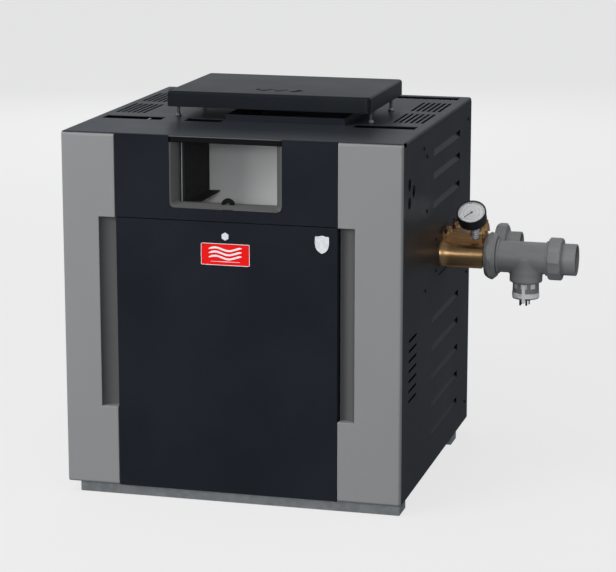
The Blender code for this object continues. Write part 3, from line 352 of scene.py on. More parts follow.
def make_materials(finish):
    """One material for each slot of the record, and a few for the pieces that only show here."""
    trim = moulded_plastic("moulded_abs_trim", finish.trim, 0.55, 1.6, "7C7C7C")
    bezel = moulded_plastic("moulded_abs_window_frame", finish.bezel, 0.5, 1.2, "4E4E4E")
    # CPVC is moulded with a satin skin and carries darker flow streaks along the pipe.
    pipe = surface(
        "moulded_cpvc_pipe",
        finish.pipe,
        0.42,
        [
            {"size": 1.4, "relief": 0.018, "inputs": {"Detail": 2.0}},
            {"size": 26, "stretch": (0.25, 1, 1), "tint": "565656", "share": 0.35, "rough": 0.10},
            {"size": 1.0, "low": 0.6, "high": 0.75, "tint": "8C8C8C", "share": 0.20},
        ],
        Specular_IOR_Level=0.45,
        IOR=1.53,
    )
    # Hot-dip galvanising freezes into flat spangles, 6 to 12 mm across, each with its own gloss.
    galvanised = surface(
        "hot_dip_galvanised_sheet",
        finish.zinc,
        0.38,
        [
            {"kind": CELLS, "size": 9, "output": "Color", "tint": "C9CCD0", "share": 0.35,
             "rough": 0.16, "low": 0.2, "high": 0.8},
            {"kind": CELLS, "size": 9, "relief": 0.02, "set": {"feature": "DISTANCE_TO_EDGE"},
             "low": 0.0, "high": 0.2},
            {"size": 60, "tint": "84878A", "share": 0.30, "rough": 0.10},
        ],
        Metallic=0.75,
    )
    # Bright zinc plate on turned steel keeps fine circular tool marks and a slight blue bloom.
    zinc = surface(
        "bright_zinc_plated_steel",
        linear("DDE0E4"),
        0.24,
        [
            {"size": 1.2, "stretch": (1, 1, 4), "relief": 0.01, "rough": 0.10},
            {"size": 8, "tint": "B4BDCB", "share": 0.30},
        ],
        Metallic=0.95,
    )
    # Clear-passivated zinc, almost white, with a faint bloom.
    bright = surface(
        "white_passivated_zinc",
        linear("F6F7F8"),
        0.32,
        [
            {"size": 1.2, "stretch": (1, 1, 3), "relief": 0.01, "rough": 0.10},
            {"size": 6, "tint": "D5DAE0", "share": 0.30},
        ],
        Metallic=0.2,
    )
    # Sand-cast bronze: pitted skin from the mould, and brown oxide in the low places.
    bronze = surface(
        "sand_cast_bronze",
        finish.bronze,
        0.33,
        [
            {"size": 2.2, "relief": 0.003, "inputs": {"Detail": 3.0}},
            {"size": 14, "tint": "8A6236", "share": 0.35, "low": 0.5, "high": 0.8, "rough": 0.10},
        ],
        Metallic=1.0,
    )
    # Drawn copper, heat-tinted in bands where the flame side has been hot.
    copper = surface(
        "drawn_copper",
        finish.copper,
        0.32,
        [
            {"size": 30, "tint": "7A3E2E", "share": 0.5, "low": 0.4, "high": 0.75, "rough": 0.15},
            {"size": 1.5, "stretch": (0.1, 1, 1), "relief": 0.01},
        ],
        Metallic=1.0,
    )
    # Vacuum-formed ceramic fibre: a soft felt of short fibres with shallow lumps.
    ceramic = surface(
        "vacuum_formed_ceramic_fibre",
        linear("E4DFD4"),
        0.95,
        [
            {"size": 2.0, "stretch": (1, 0.3, 1), "relief": 0.25, "inputs": {"Detail": 4.0}},
            {"size": 22, "relief": 0.6, "tint": "B9AD98", "share": 0.5},
        ],
    )
    # Grey iron, sand cast and dipped in black paint: coarse skin, dull, rust in a few spots.
    iron = surface(
        "painted_sand_cast_iron",
        linear("3A3B3C"),
        0.55,
        [
            {"size": 2.5, "relief": 0.12, "inputs": {"Detail": 4.0}},
            {"size": 18, "low": 0.62, "high": 0.78, "tint": "5A3A26", "share": 0.55, "rough": 0.2},
        ],
        Metallic=0.3,
    )
    # Stove enamel: glassy, with a very slight orange peel under the gloss.
    enamel = surface(
        "stove_enamelled_steel",
        finish.badge,
        0.28,
        [
            {"size": 4.0, "relief": 0.01},
            {"size": 12, "rough": 0.08, "tint": "B00505", "share": 0.18},
        ],
        Coat_Weight=0.4,
        Coat_Roughness=0.1,
    )
    white = surface(
        "printed_white_enamel",
        linear("F4F4F4"),
        0.35,
        [
            {"size": 3.0, "relief": 0.008},
            {"size": 20, "tint": "D8D8D8", "share": 0.35, "rough": 0.05},
        ],
    )
    # Polyester foil label: rolled, so its brushing runs one way.
    foil = surface(
        "rolled_aluminium_foil",
        linear("E6E9EB"),
        0.34,
        [
            {"size": 1.0, "stretch": (0.05, 1, 1), "rough": 0.12, "relief": 0.004},
            {"size": 10, "tint": "9AA0A6", "share": 0.35},
        ],
        Metallic=0.0,
    )
    rubber = surface(
        "moulded_black_rubber",
        linear("080809"),
        0.65,
        [
            {"size": 1.2, "relief": 0.03},
            {"size": 9, "tint": "161618", "share": 0.4, "low": 0.5, "high": 0.8, "rough": 0.15},
        ],
        Specular_IOR_Level=0.3,
    )
    # Closed-cell foam, charcoal, with its fine open skin; its dark colour paints the shade on the bay's left wall.
    pad = surface(
        "closed_cell_foam",
        linear("2E2E2F"),
        0.9,
        [
            {"kind": CELLS, "size": 0.8, "output": "Distance", "relief": 0.06},
            {"size": 16, "tint": "3C3C3D", "share": 0.4},
        ],
        Specular_IOR_Level=0.1,
    )
    black = surface(
        "satin_black_painted_steel",
        linear("17191B"),
        0.38,
        [
            {"size": 1.8, "relief": 0.012},
            {"size": 25, "tint": "34383C", "share": 0.30, "rough": 0.10},
        ],
    )
    dial = surface(
        "stove_enamelled_dial",
        linear("FFFFFF"),
        0.4,
        [
            {"size": 2.0, "relief": 0.006},
            {"size": 11, "tint": "E4E4E2", "share": 0.3, "rough": 0.06},
        ],
    )
    # Pressure die-cast aluminium: even satin grain with pale flow lines.
    aluminium = surface(
        "die_cast_aluminium",
        linear("A8AAAD"),
        0.42,
        [
            {"size": 1.6, "relief": 0.03, "inputs": {"Detail": 3.0}},
            {"size": 20, "stretch": (1, 1, 0.4), "tint": "7F8286", "share": 0.4, "rough": 0.15},
        ],
        Metallic=0.9,
    )
    # Solder mask over copper tracks: the tracks run square, and show as a slightly lighter green.
    board = surface(
        "solder_mask_circuit_board",
        linear("1B4F33"),
        0.35,
        [
            {"kind": WAVES, "size": 3.0, "low": 0.75, "high": 0.85, "tint": "2F7A4E", "share": 0.8,
             "set": {"bands_direction": "Z"}, "relief": 0.03,
             "inputs": {"Distortion": 0.0}},
            {"size": 6, "tint": "12351F", "share": 0.5, "rough": 0.1},
        ],
    )
    glass = surface(
        "clear_gauge_glass",
        linear("FFFFFF"),
        0.04,
        [{"size": 15, "rough": 0.05}],
        Alpha=0.12,
        IOR=1.5,
    )
    # The anode rod is cast magnesium, chalk white once it has worked.
    anode = surface(
        "cast_anode_metal",
        linear("FFFFFF"),
        0.35,
        [
            {"size": 2.0, "relief": 0.06, "inputs": {"Detail": 3.0}},
            {"size": 9, "tint": "E6E6E3", "share": 0.4, "rough": 0.15},
        ],
        Metallic=0.1,
    )
    bay = coated_steel("powder_coated_bay", finish.bay, 0.6)
    dark = coated_steel("powder_coated_cabinet_steel", finish.cabinet, 0.36)
    # The top sheet's coat is lighter than the cabinet's coat: painted light from overhead.
    top = coated_steel("powder_coated_top_steel", finish.top, 0.33)
    return {
        "dark_steel": dark,
        "grey_steel": top,
        "cap": coated_steel("powder_coated_cap_steel", finish.cap, 0.31),
        "galvanised_steel": galvanised,
        "trim_plastic": trim,
        "bezel_plastic": bezel,
        "bay_steel": bay,
        "rubber": rubber,
        "red_enamel": enamel,
        "silver_foil": foil,
        "zinc_plate": zinc,
        "copper_fins": copper,
        "ceramic_fibre": ceramic,
        "bronze": bronze,
        "cast_iron": iron,
        "grey_pipe_plastic": pipe,
        "black_paint": black,
        "white_enamel": white,
        "clear_glass": glass,
        "cast_aluminium": aluminium,
        "circuit_board": board,
        "dial": dial,
        "bright": bright,
        "pad": pad,
        # Zinc darkened to paint the shade under the vent cap; the cap spacers wear it.
        "dull": surface(
            "weathered_zinc",
            linear("6E7072"),
            0.45,
            [
                {"size": 1.5, "relief": 0.01},
                {"size": 7, "tint": "4A4C4E", "share": 0.5, "rough": 0.12},
            ],
            Metallic=0.8,
        ),
        "anode": anode,
    }


MATERIALS = {}


# ---- mesh helpers ----


def smooth(mesh, angle=32.0):
    mesh.polygons.foreach_set("use_smooth", [True] * len(mesh.polygons))
    mesh.set_sharp_from_angle(angle=math.radians(angle))


def link(name, mesh):
    made = bpy.data.objects.new(name, mesh)
    bpy.context.scene.collection.objects.link(made)
    return made


def settle(made, slot, body=ROOT, stands_for=(), material=None, angle=32.0):
    """Gives a finished mesh its material, from its slot unless another is named, and its body, and hides what it
    stands for.
    """
    made.data.materials.clear()
    made.data.materials.append(MATERIALS[material or slot])
    if angle is not None:
        smooth(made.data, angle)
    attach(made, body)
    if stands_for:
        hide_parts(*stands_for)
    return made


def piece(name, shape, slot, body=ROOT, stands_for=(), material=None, angle=32.0):
    """A finished piece from a bmesh that is already in its place."""
    bmesh.ops.recalc_face_normals(shape, faces=shape.faces)
    data = bpy.data.meshes.new(name)
    shape.to_mesh(data)
    shape.free()
    return settle(link(name, data), slot, body, stands_for, material, angle)


def applied(carrier):
    """The carrier's evaluated shape as a plain mesh, with its modifiers gone."""
    graph = bpy.context.evaluated_depsgraph_get()
    mesh = bpy.data.meshes.new_from_object(carrier.evaluated_get(graph))
    carrier.modifiers.clear()
    carrier.data = mesh
    return carrier


def block(shape, low, high):
    low, high = Vector(low), Vector(high)
    place = Matrix.Translation((low + high) / 2) @ Matrix.Diagonal((*(high - low), 1))
    return bmesh.ops.create_cube(shape, size=1.0, matrix=place)["verts"]


def loft(shape, rings, closed=False, caps=True):
    """Skins a list of rings, each a list of points of the same count."""
    made = [[shape.verts.new(point) for point in ring] for ring in rings]
    pairs = list(zip(made, made[1:] + made[:1])) if closed else list(zip(made, made[1:]))
    for first, second in pairs:
        for index in range(len(first)):
            after = (index + 1) % len(first)
            shape.faces.new((first[index], first[after], second[after], second[index]))
    if caps and not closed:
        shape.faces.new(made[0][::-1])
        shape.faces.new(made[-1])
    return made


def turned(shape, profile, place, segments=96):
    """Turns a closed profile of (radius, height) about Z, then puts it in its place."""
    rings = []
    for radius, height in profile:
        step = 2 * math.pi / segments
        rings.append(
            [
                place @ Vector((radius * math.cos(step * i), radius * math.sin(step * i), height))
                for i in range(segments)
            ]
        )
    loft(shape, rings, closed=True)


def turned_solid(shape, profile, place, segments=96):
    """As turned, for a profile whose first and last points lie on the axis."""
    step = 2 * math.pi / segments
    ends = [place @ Vector((0, 0, profile[index][1])) for index in (0, -1)]
    rings = [
        [
            place @ Vector((radius * math.cos(step * i), radius * math.sin(step * i), height))
            for i in range(segments)
        ]
        for radius, height in profile[1:-1]
    ]
    made = loft(shape, rings, caps=False)
    for end, ring in zip(ends, (made[0], made[-1])):
        tip = shape.verts.new(end)
        for index in range(segments):
            shape.faces.new((ring[index], ring[(index + 1) % segments], tip))


def rounded_rectangle(x0, x1, y0, y1, radii, steps=6):
    """Corner arcs of a rectangle, anticlockwise from the low corner. radii are one for each corner."""
    centres = ((x0, y0, 180), (x1, y0, 270), (x1, y1, 0), (x0, y1, 90))
    points = []
    for (x, y, start), radius in zip(centres, radii):
        cx = x + radius if x == x0 else x - radius
        cy = y + radius if y == y0 else y - radius
        for step in range(steps + 1):
            turn = math.radians(start + 90 * step / steps)
            points.append((cx + radius * math.cos(turn), cy + radius * math.sin(turn)))
    return points


def prism(shape, points, to_world, depth0, depth1):
    """A flat outline given thickness. to_world turns (a, b, depth) into a point."""
    loft(shape, [[to_world(a, b, depth) for a, b in points] for depth in (depth0, depth1)])


def along_x(point):
    """Z of a turned profile runs along +X from this point."""
    return Matrix.Translation(point) @ Matrix.Rotation(math.radians(90), 4, "Y")


def merged_copy(name):
    """A CAD node's shape with its loose triangles joined into flat faces."""
    shape = bmesh.new()
    shape.from_mesh(frame["nodes"][name].data)
    bmesh.ops.remove_doubles(shape, verts=shape.verts, dist=0.02 * MM)
    bmesh.ops.dissolve_limit(
        shape, angle_limit=math.radians(0.8), verts=shape.verts, edges=shape.edges
    )
    return shape


def on_sides(name, sides):
    """The planes of a node's box that sides names, such as "-x -y +z"."""
    corners = dict(zip("-+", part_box(name)))
    return [("xyz".index(side[1]), corners[side[0]]["xyz".index(side[1])]) for side in sides.split()]


def softened(
    name,
    slot,
    body=ROOT,
    width=None,
    segments=2,
    outer=None,
    sides="",
    material=None,
    extra=None,
):
    """A CAD node's own shape with its folds and cut edges rounded. It stands for that node.

    width is the radius of a small edge. outer, where it is given, is the radius of the edges
    where two of the named sides of the node's box meet.
    """
    edge = bpy.context.scene.heater_fasteners.edge_radius if width is None else width
    shape = merged_copy(name)
    if extra is not None:
        extra(shape)
    planes = on_sides(name, sides)
    weight = shape.edges.layers.float.new("bevel_weight_edge")
    for line in shape.edges:
        if len(line.link_faces) != 2 or line.calc_face_angle() < math.radians(35):
            continue
        met = sum(
            all(abs(end.co[axis] - level) < 0.05 * MM for end in line.verts)
            for axis, level in planes
        )
        line[weight] = 1.0 if outer is None or met > 1 else edge / outer
    data = bpy.data.meshes.new(name + "_finished")
    shape.to_mesh(data)
    shape.free()
    data.polygons.foreach_set("use_smooth", [True] * len(data.polygons))
    carrier = link(name + "_finished", data)
    step = carrier.modifiers.new("rounded edges", "BEVEL")
    step.width = edge if outer is None else outer
    step.segments = segments if outer is None else 2 * segments
    step.limit_method = "WEIGHT"
    step.use_clamp_overlap = outer is None
    level = carrier.modifiers.new("flat faces", "WEIGHTED_NORMAL")
    level.weight = 100
    return settle(applied(carrier), slot, body, (name,), material, None)


# ---- geometry node trees ----


def new_tree(name, **inputs):
    """An empty geometry tree with a geometry in and out, and the named inputs."""
    tree = bpy.data.node_groups.new(name, "GeometryNodeTree")
    tree.interface.new_socket("Geometry", in_out="INPUT", socket_type="NodeSocketGeometry")
    for label, kind in inputs.items():
        tree.interface.new_socket(
            label.replace("_", " "), in_out="INPUT", socket_type="NodeSocket" + kind
        )
    tree.interface.new_socket("Geometry", in_out="OUTPUT", socket_type="NodeSocketGeometry")
    return tree, node(tree, "NodeGroupInput").outputs


def close_tree(tree, source, geometry):
    """Every tree ends in Realize Instances and Set Material."""
    real = node(tree, "GeometryNodeRealizeInstances", {"Geometry": geometry})
    painted = node(
        tree,
        "GeometryNodeSetMaterial",
        {"Geometry": real.outputs[0], "Material": source["Material"]},
    )
    node(tree, "NodeGroupOutput", {"Geometry": painted.outputs[0]})
    return tree


def hexagon_tree():
    """A washer-headed hexagon on each point, standing along the point's facing."""
    tree, given = new_tree(
        "hexagon_heads",
        Across="Float",
        Height="Float",
        Washer="Float",
        Washer_Height="Float",
        Material="Material",
    )
    corner = node(
        tree, "ShaderNodeMath", {0: given["Across"], 1: 1 / math.sqrt(3)}, operation="MULTIPLY"
    ).outputs[0]
    top = node(tree, "ShaderNodeMath", {0: corner, 1: 0.82}, operation="MULTIPLY").outputs[0]
    chamfer = node(
        tree, "ShaderNodeMath", {0: given["Height"], 1: 0.25}, operation="MULTIPLY"
    ).outputs[0]
    shank = node(
        tree, "ShaderNodeMath", {0: given["Height"], 1: 0.75}, operation="MULTIPLY"
    ).outputs[0]
    washer = node(
        tree, "ShaderNodeMath", {0: given["Washer"], 1: 0.5}, operation="MULTIPLY"
    ).outputs[0]
    rim = node(tree, "ShaderNodeMath", {0: washer, 1: 0.9}, operation="MULTIPLY").outputs[0]
    parts = []
    for vertices, low_radius, high_radius, depth, lift in (
        (24, washer, rim, given["Washer Height"], None),
        (6, corner, corner, shank, given["Washer Height"]),
        (6, corner, top, chamfer, shank),
    ):
        cone = node(
            tree,
            "GeometryNodeMeshCone",
            {"Vertices": vertices, "Radius Bottom": low_radius, "Radius Top": high_radius,
             "Depth": depth},
        ).outputs["Mesh"]
        if lift is not None:
            height = lift
            if depth is chamfer:
                height = node(
                    tree, "ShaderNodeMath", {0: lift, 1: given["Washer Height"]}, operation="ADD"
                ).outputs[0]
            up = node(tree, "ShaderNodeCombineXYZ", {"Z": height}).outputs[0]
            cone = node(
                tree, "GeometryNodeTransform", {"Geometry": cone, "Translation": up}
            ).outputs[0]
        parts.append(cone)
    head = node(tree, "GeometryNodeJoinGeometry", {"Geometry": parts}).outputs[0]
    facing = node(
        tree, "GeometryNodeInputNamedAttribute", {"Name": "facing"}, data_type="FLOAT_VECTOR"
    ).outputs[0]
    turn = node(tree, "FunctionNodeAlignRotationToVector", {"Vector": facing}, axis="Z").outputs[0]
    placed = node(
        tree,
        "GeometryNodeInstanceOnPoints",
        {"Points": given["Geometry"], "Instance": head, "Rotation": turn},
    )
    return close_tree(tree, given, placed.outputs[0])


def row_tree():
    """Copies of the shape in a straight row."""
    tree, given = new_tree("row", Count="Int", Step="Vector", Material="Material")
    line = node(
        tree,
        "GeometryNodeMeshLine",
        {"Count": given["Count"], "Offset": given["Step"]},
        mode="OFFSET",
    )
    placed = node(
        tree,
        "GeometryNodeInstanceOnPoints",
        {"Points": line.outputs[0], "Instance": given["Geometry"]},
    )
    return close_tree(tree, given, placed.outputs[0])


def ring_tree():
    """Copies of the shape round the Z axis, over part of a turn."""
    tree, given = new_tree("ring", Count="Int", Start="Float", Step="Float", Material="Material")
    line = node(
        tree,
        "GeometryNodeMeshLine",
        {"Count": given["Count"], "Offset": Vector((0, 0, 0))},
        mode="OFFSET",
    )
    index = node(tree, "GeometryNodeInputIndex").outputs[0]
    turn = node(
        tree,
        "ShaderNodeMath",
        {0: index, 1: given["Step"], 2: given["Start"]},
        operation="MULTIPLY_ADD",
    ).outputs[0]
    about_z = node(tree, "ShaderNodeCombineXYZ", {"Z": turn}).outputs[0]
    placed = node(
        tree,
        "GeometryNodeInstanceOnPoints",
        {"Points": line.outputs[0], "Instance": given["Geometry"], "Rotation": about_z},
    )
    return close_tree(tree, given, placed.outputs[0])


def thread_tree():
    """A thread's ridge, wound up the Z axis."""
    tree, given = new_tree(
        "thread",
        Radius="Float",
        Pitch="Float",
        Length="Float",
        Depth="Float",
        Material="Material",
    )
    turns = node(
        tree, "ShaderNodeMath", {0: given["Length"], 1: given["Pitch"]}, operation="DIVIDE"
    ).outputs[0]
    spiral = node(
        tree,
        "GeometryNodeCurveSpiral",
        {"Resolution": 28, "Rotations": turns, "Start Radius": given["Radius"],
         "End Radius": given["Radius"], "Height": given["Length"]},
    ).outputs[0]
    profile = node(
        tree, "GeometryNodeCurvePrimitiveCircle", {"Resolution": 4, "Radius": given["Depth"]}
    ).outputs[0]
    ridge = node(
        tree,
        "GeometryNodeCurveToMesh",
        {"Curve": spiral, "Profile Curve": profile, "Fill Caps": True},
    )
    return close_tree(tree, given, ridge.outputs[0])


TREES = {}


def grown(tree_name, carrier_mesh, name, **values):
    """Runs a tree on a mesh and leaves a plain object with the result."""
    makers = {
        "hexagons": hexagon_tree,
        "row": row_tree,
        "ring": ring_tree,
        "thread": thread_tree,
    }
    if tree_name not in TREES:
        TREES[tree_name] = makers[tree_name]()
    tree = TREES[tree_name]
    carrier = link(name, carrier_mesh)
    modifier = carrier.modifiers.new(tree_name, "NODES")
    modifier.node_group = tree
    for socket in tree.interface.items_tree:
        key = socket.name.replace(" ", "_")
        if socket.in_out == "INPUT" and key in values:
            modifier[socket.identifier] = values[key]
    made = applied(carrier)
    if not made.data.polygons:
        raise RuntimeError(f"{name} came out empty")
    return made


def points_facing(name, places):
    """A mesh of loose points, each with the direction that a screw on it faces."""
    mesh = bpy.data.meshes.new(name)
    mesh.from_pydata([place for place, _ in places], [], [])
    facing = mesh.attributes.new("facing", "FLOAT_VECTOR", "POINT")
    facing.data.foreach_set("vector", [value for _, way in places for value in way])
    return mesh


def plain_mesh(name, shape):
    data = bpy.data.meshes.new(name)
    bmesh.ops.recalc_face_normals(shape, faces=shape.faces)
    shape.to_mesh(data)
    shape.free()
    return data


def hexagons(name, places, slot, body=ROOT, across=None, height=None, washer=None, thick=None):
    """Washer-headed hexagons at (place, facing) pairs, as one piece."""
    sizes = bpy.context.scene.heater_fasteners
    made = grown(
        "hexagons",
        points_facing(name, places),
        name,
        Across=sizes.screw_across if across is None else across,
        Height=sizes.screw_height if height is None else height,
        Washer=sizes.washer_diameter if washer is None else washer,
        Washer_Height=sizes.washer_height if thick is None else thick,
        Material=MATERIALS[slot],
    )
    return settle(made, slot, body)


def thread(name, start, axis, radius, run, slot, body=ROOT, depth=0.45 * MM, material=None,
           pitch=None):
    """A thread's ridge round a stem that starts at a point and runs along an axis."""
    shape = bpy.data.meshes.new(name)
    shape.from_pydata([(0, 0, 0)], [], [])
    made = grown(
        "thread",
        shape,
        name,
        Radius=radius,
        Pitch=bpy.context.scene.heater_pipework.thread_pitch if pitch is None else pitch,
        Length=run,
        Depth=depth,
        Material=MATERIALS[slot],
    )
    turn = Vector(axis).to_track_quat("Z", "Y").to_matrix().to_4x4()
    made.data.transform(Matrix.Translation(start) @ turn)
    return settle(made, slot, body, material=material)


# ---- operators: one for each piece or group of like pieces ----


class HeaterOperator:
    """What every step shares."""

    bl_options = {"REGISTER", "UNDO"}

    def execute(self, context):
        self.build(context.scene)
        return {"FINISHED"}


class HEATER_OT_finish_nodes(HeaterOperator, bpy.types.Operator):
    """Gives every packed node the material of its slot"""

    bl_idname = "heater.finish_nodes"
    bl_label = "Finishes"

    def build(self, scene):
        MATERIALS.update(make_materials(scene.heater_finish))
        for entry in frame["record"]["subparts"]:
            data = frame["nodes"][entry["node"]].data
            data.materials.clear()
            data.materials.append(MATERIALS[entry["material_slot"]])


class HEATER_OT_cabinet_sheets(HeaterOperator, bpy.types.Operator):
    """Folded sheets of the cabinet, with the radius that a press brake leaves along each fold"""

    bl_idname = "heater.cabinet_sheets"
    bl_label = "Cabinet sheets"

    def build(self, scene):
        softened("left_side_panel", "dark_steel", width=0.4 * MM)
        softened("right_side_panel", "dark_steel", width=0.4 * MM)
        softened("rear_panel", "dark_steel")
        softened(
            "top_panel", "grey_steel", width=0.5 * MM, outer=4.5 * MM, sides="-x +x -y +y +z"
        )
        softened("base_front_rail", "galvanised_steel")
        softened("base_rear_rail", "galvanised_steel")
        softened("base_pan", "galvanised_steel", width=0.5 * MM)
        softened("front_door", "dark_steel", body="front_door", width=0.8 * MM, segments=3)


class HEATER_OT_corner_trims(HeaterOperator, bpy.types.Operator):
    """Moulded corner columns with a hand grip along the door"""

    bl_idname = "heater.corner_trims"
    bl_label = "Corner trims"

    def build(self, scene):
        for name, out in (("left_corner_trim", "-x"), ("right_corner_trim", "+x")):
            softened(
                name,
                "trim_plastic",
                width=1.5 * MM,
                segments=3,
                outer=6 * MM,
                sides="-y -z +z " + out,
            )
            # The hand grip is lined with a scoop in the darker window-frame plastic, deepest beside the door: the
            # darker colour paints the shade in the recess.
            low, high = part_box(name)
            side = -1 if out == "-x" else 1
            door = high.x if side < 0 else low.x
            shape = bmesh.new()
            outline = [(door + side * (31 - 0.3) * MM, low.y + 0.8 * MM)]
            for step in range(1, 13):
                turn = math.radians(7.5 * step)
                outline.append(
                    (
                        outline[0][0] - side * 29 * MM * (1 - math.cos(turn)),
                        low.y + 0.8 * MM + 18.2 * MM * math.sin(turn),
                    )
                )
            outline.append((door + side * 0.6 * MM, outline[-1][1]))
            outline.append((door + side * 0.6 * MM, low.y + 19.7 * MM))
            outline.append((outline[0][0], low.y + 19.7 * MM))
            prism(shape, outline, lambda a, b, d: Vector((a, b, d)), 170.4 * MM, 524.6 * MM)
            # Window-frame plastic, darker than the trim: painted shade in the grip.
            piece(name.replace("corner_trim", "grip_scoop"), shape, "bezel_plastic", angle=30)


WINDOW_ROUND = 9 * MM


class HEATER_OT_window(HeaterOperator, bpy.types.Operator):
    """Upper front panel, the moulded frame of its window, the bay behind it and the grommet"""

    bl_idname = "heater.window"
    bl_label = "Control window"

    def build(self, scene):
        low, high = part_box("window_bezel")
        bay_low, bay_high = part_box("control_bay")

        def corner_fillets(shape):
            # The opening's two lower corners are rounded, not square.
            for x, side in ((low.x, 1), (high.x, -1)):
                arc = [
                    (
                        x + side * WINDOW_ROUND * (1 - math.cos(math.radians(15 * step))),
                        low.z + WINDOW_ROUND * (1 - math.sin(math.radians(15 * step))),
                    )
                    for step in range(7)
                ]
                outline = [(x - side * MM, low.z - MM), (x - side * MM, arc[0][1])]
                outline += arc + [(arc[-1][0], low.z - MM)]
                if side > 0:
                    outline.reverse()
                prism(shape, outline, lambda a, b, d: Vector((a, d, b)), low.y, low.y + MM)

        softened("upper_front_panel", "dark_steel", extra=corner_fillets, width=0.6 * MM)

        # The frame is a U: its two sides slope in to a sleeve, and its sill is dished.
        rim, sill = 12 * MM, 7 * MM
        slope = low.y + 14 * MM
        front = low.y + 1.2 * MM
        top = high.z - 12 * MM
        shape = bmesh.new()
        sections = (
            (front, 0.0, 0.0, WINDOW_ROUND),
            (front, 1.0 * MM, 1.0 * MM, WINDOW_ROUND),
            (front + 3 * MM, 3.0 * MM, 1.6 * MM, WINDOW_ROUND),
            (slope, rim, sill - MM, WINDOW_ROUND * 0.6),
            (slope + 3 * MM, rim + 0.6 * MM, sill, WINDOW_ROUND * 0.4),
            (high.y, rim + 0.6 * MM, sill, WINDOW_ROUND * 0.4),
            (high.y, 0.0, 0.0, WINDOW_ROUND),
        )
        rings = []
        for y, inset, lift, radius in sections:
            x0, x1, z0 = low.x + inset, high.x - inset, low.z + lift
            points = rounded_rectangle(x0, x1, z0, top, (radius, radius, 0.2 * MM, 0.2 * MM), 8)
            last_corner = 3 * len(points) // 4
            path = points[last_corner:] + points[:last_corner]
            rings.append([Vector((x, y, z)) for x, z in path])
        made = [[shape.verts.new(point) for point in ring] for ring in rings]
        for first, second in zip(made, made[1:]):
            for index in range(len(first) - 1):
                shape.faces.new(
                    (first[index], first[index + 1], second[index + 1], second[index])
                )
        for end in (0, -1):
            shape.faces.new([ring[end] for ring in made])
        for index in range(len(made[0]) - 1):
            shape.faces.new(
                (made[-1][index], made[-1][index + 1], made[0][index + 1], made[0][index])
            )
        piece("window_frame", shape, "bezel_plastic", stands_for=("window_bezel",), angle=60)

        # A black rubber strip fills the gap under the top sheet: a dark sheet that paints the shade in that gap.
        shape = bmesh.new()
        points = rounded_rectangle(
            front + 0.6 * MM, high.y - 0.5 * MM, top + 0.3 * MM, high.z - 0.2 * MM, [2 * MM] * 4
        )
        prism(shape, points, lambda a, b, d: Vector((d, a, b)), low.x + 2 * MM, high.x - 2 * MM)
        piece("window_strip", shape, "rubber")

        # A grey bead along the head of the window, lighter than the panel: a painted highlight on the top sheet's
        # front edge.
        shape = bmesh.new()
        points = rounded_rectangle(
            low.y - 0.4 * MM, low.y + 1.6 * MM, high.z - 1.4 * MM, high.z + 0.4 * MM, [0.6 * MM] * 4
        )
        prism(shape, points, lambda a, b, d: Vector((d, a, b)), low.x, high.x)
        piece("window_head_bead", shape, "bezel_plastic")

        softened("control_bay", "bay_steel", width=0.6 * MM)

        # The left wall of the bay, and the floor beside it, carry a black foam pad: painted shade on the wall that
        # faces away from the light.
        inner = bay_low.x + 2.6 * MM
        shape = bmesh.new()
        points = rounded_rectangle(
            high.y + 0.6 * MM, bay_high.y - 4 * MM, low.z + 2 * MM, bay_high.z - 4 * MM, [2 * MM] * 4
        )
        prism(shape, points, lambda a, b, d: Vector((d, a, b)), inner, inner + 3 * MM)
        points = rounded_rectangle(
            inner, inner + 24 * MM, high.y + 0.6 * MM, bay_high.y - 4 * MM, [2 * MM] * 4
        )
        prism(shape, points, lambda a, b, d: Vector((a, b, d)), low.z + 0.4 * MM, low.z + 1.7 * MM)
        # The dark foam paints the shade on this wall.
        piece("bay_side_pad", shape, "rubber", material="pad")

        # The grommet has a bead on each side of the sheet that it sits in.
        centre = middle("cable_grommet")
        half = size_of("cable_grommet") / 2
        place = Matrix.Translation(centre) @ Matrix.Rotation(math.radians(90), 4, "X")
        bore, outer, deep = 5 * MM, half.x, half.y
        shape = bmesh.new()
        turned(
            shape,
            [
                (bore + 0.8 * MM, deep),
                (outer - 1.2 * MM, deep),
                (outer, deep - 1.4 * MM),
                (outer, deep * 0.35),
                (outer - 1.6 * MM, 0.8 * MM),
                (outer - 1.6 * MM, -0.8 * MM),
                (outer, -deep * 0.35),
                (outer, -deep + 1.4 * MM),
                (outer - 1.2 * MM, -deep),
                (bore + 0.8 * MM, -deep),
                (bore, -deep + MM),
                (bore, deep - MM),
            ],
            place,
            48,
        )
        piece("bay_grommet", shape, "rubber", stands_for=("cable_grommet",), angle=50)


class HEATER_OT_latch(HeaterOperator, bpy.types.Operator):
    """Quarter-turn latch with a bright hexagon head"""

    bl_idname = "heater.latch"
    bl_label = "Door latch"

    def build(self, scene):
        softened(
            "door_latch", "zinc_plate", body="door_latch", width=0.5 * MM, material="bright"
        )


def wave(x0, x1, centre, height, phase, steps=24):
    """Points along one gently rising heat wave."""
    return [
        (
            x0 + (x1 - x0) * i / steps,
            centre + height * math.sin(phase + 2 * math.pi * 1.25 * i / steps),
        )
        for i in range(steps + 1)
    ]


def ribbon(path, width):
    """The outline of a stroke of even width along a path, with tapered ends."""
    left, right = [], []
    for index, (x, y) in enumerate(path):
        before, after = path[max(index - 1, 0)], path[min(index + 1, len(path) - 1)]
        along = Vector((after[0] - before[0], after[1] - before[1])).normalized()
        ends = min(index, len(path) - 1 - index) / 3
        half = width / 2 * min(1.0, 0.35 + ends)
        left.append((x - along.y * half, y + along.x * half))
        right.append((x + along.y * half, y - along.x * half))
    return left + right[::-1]


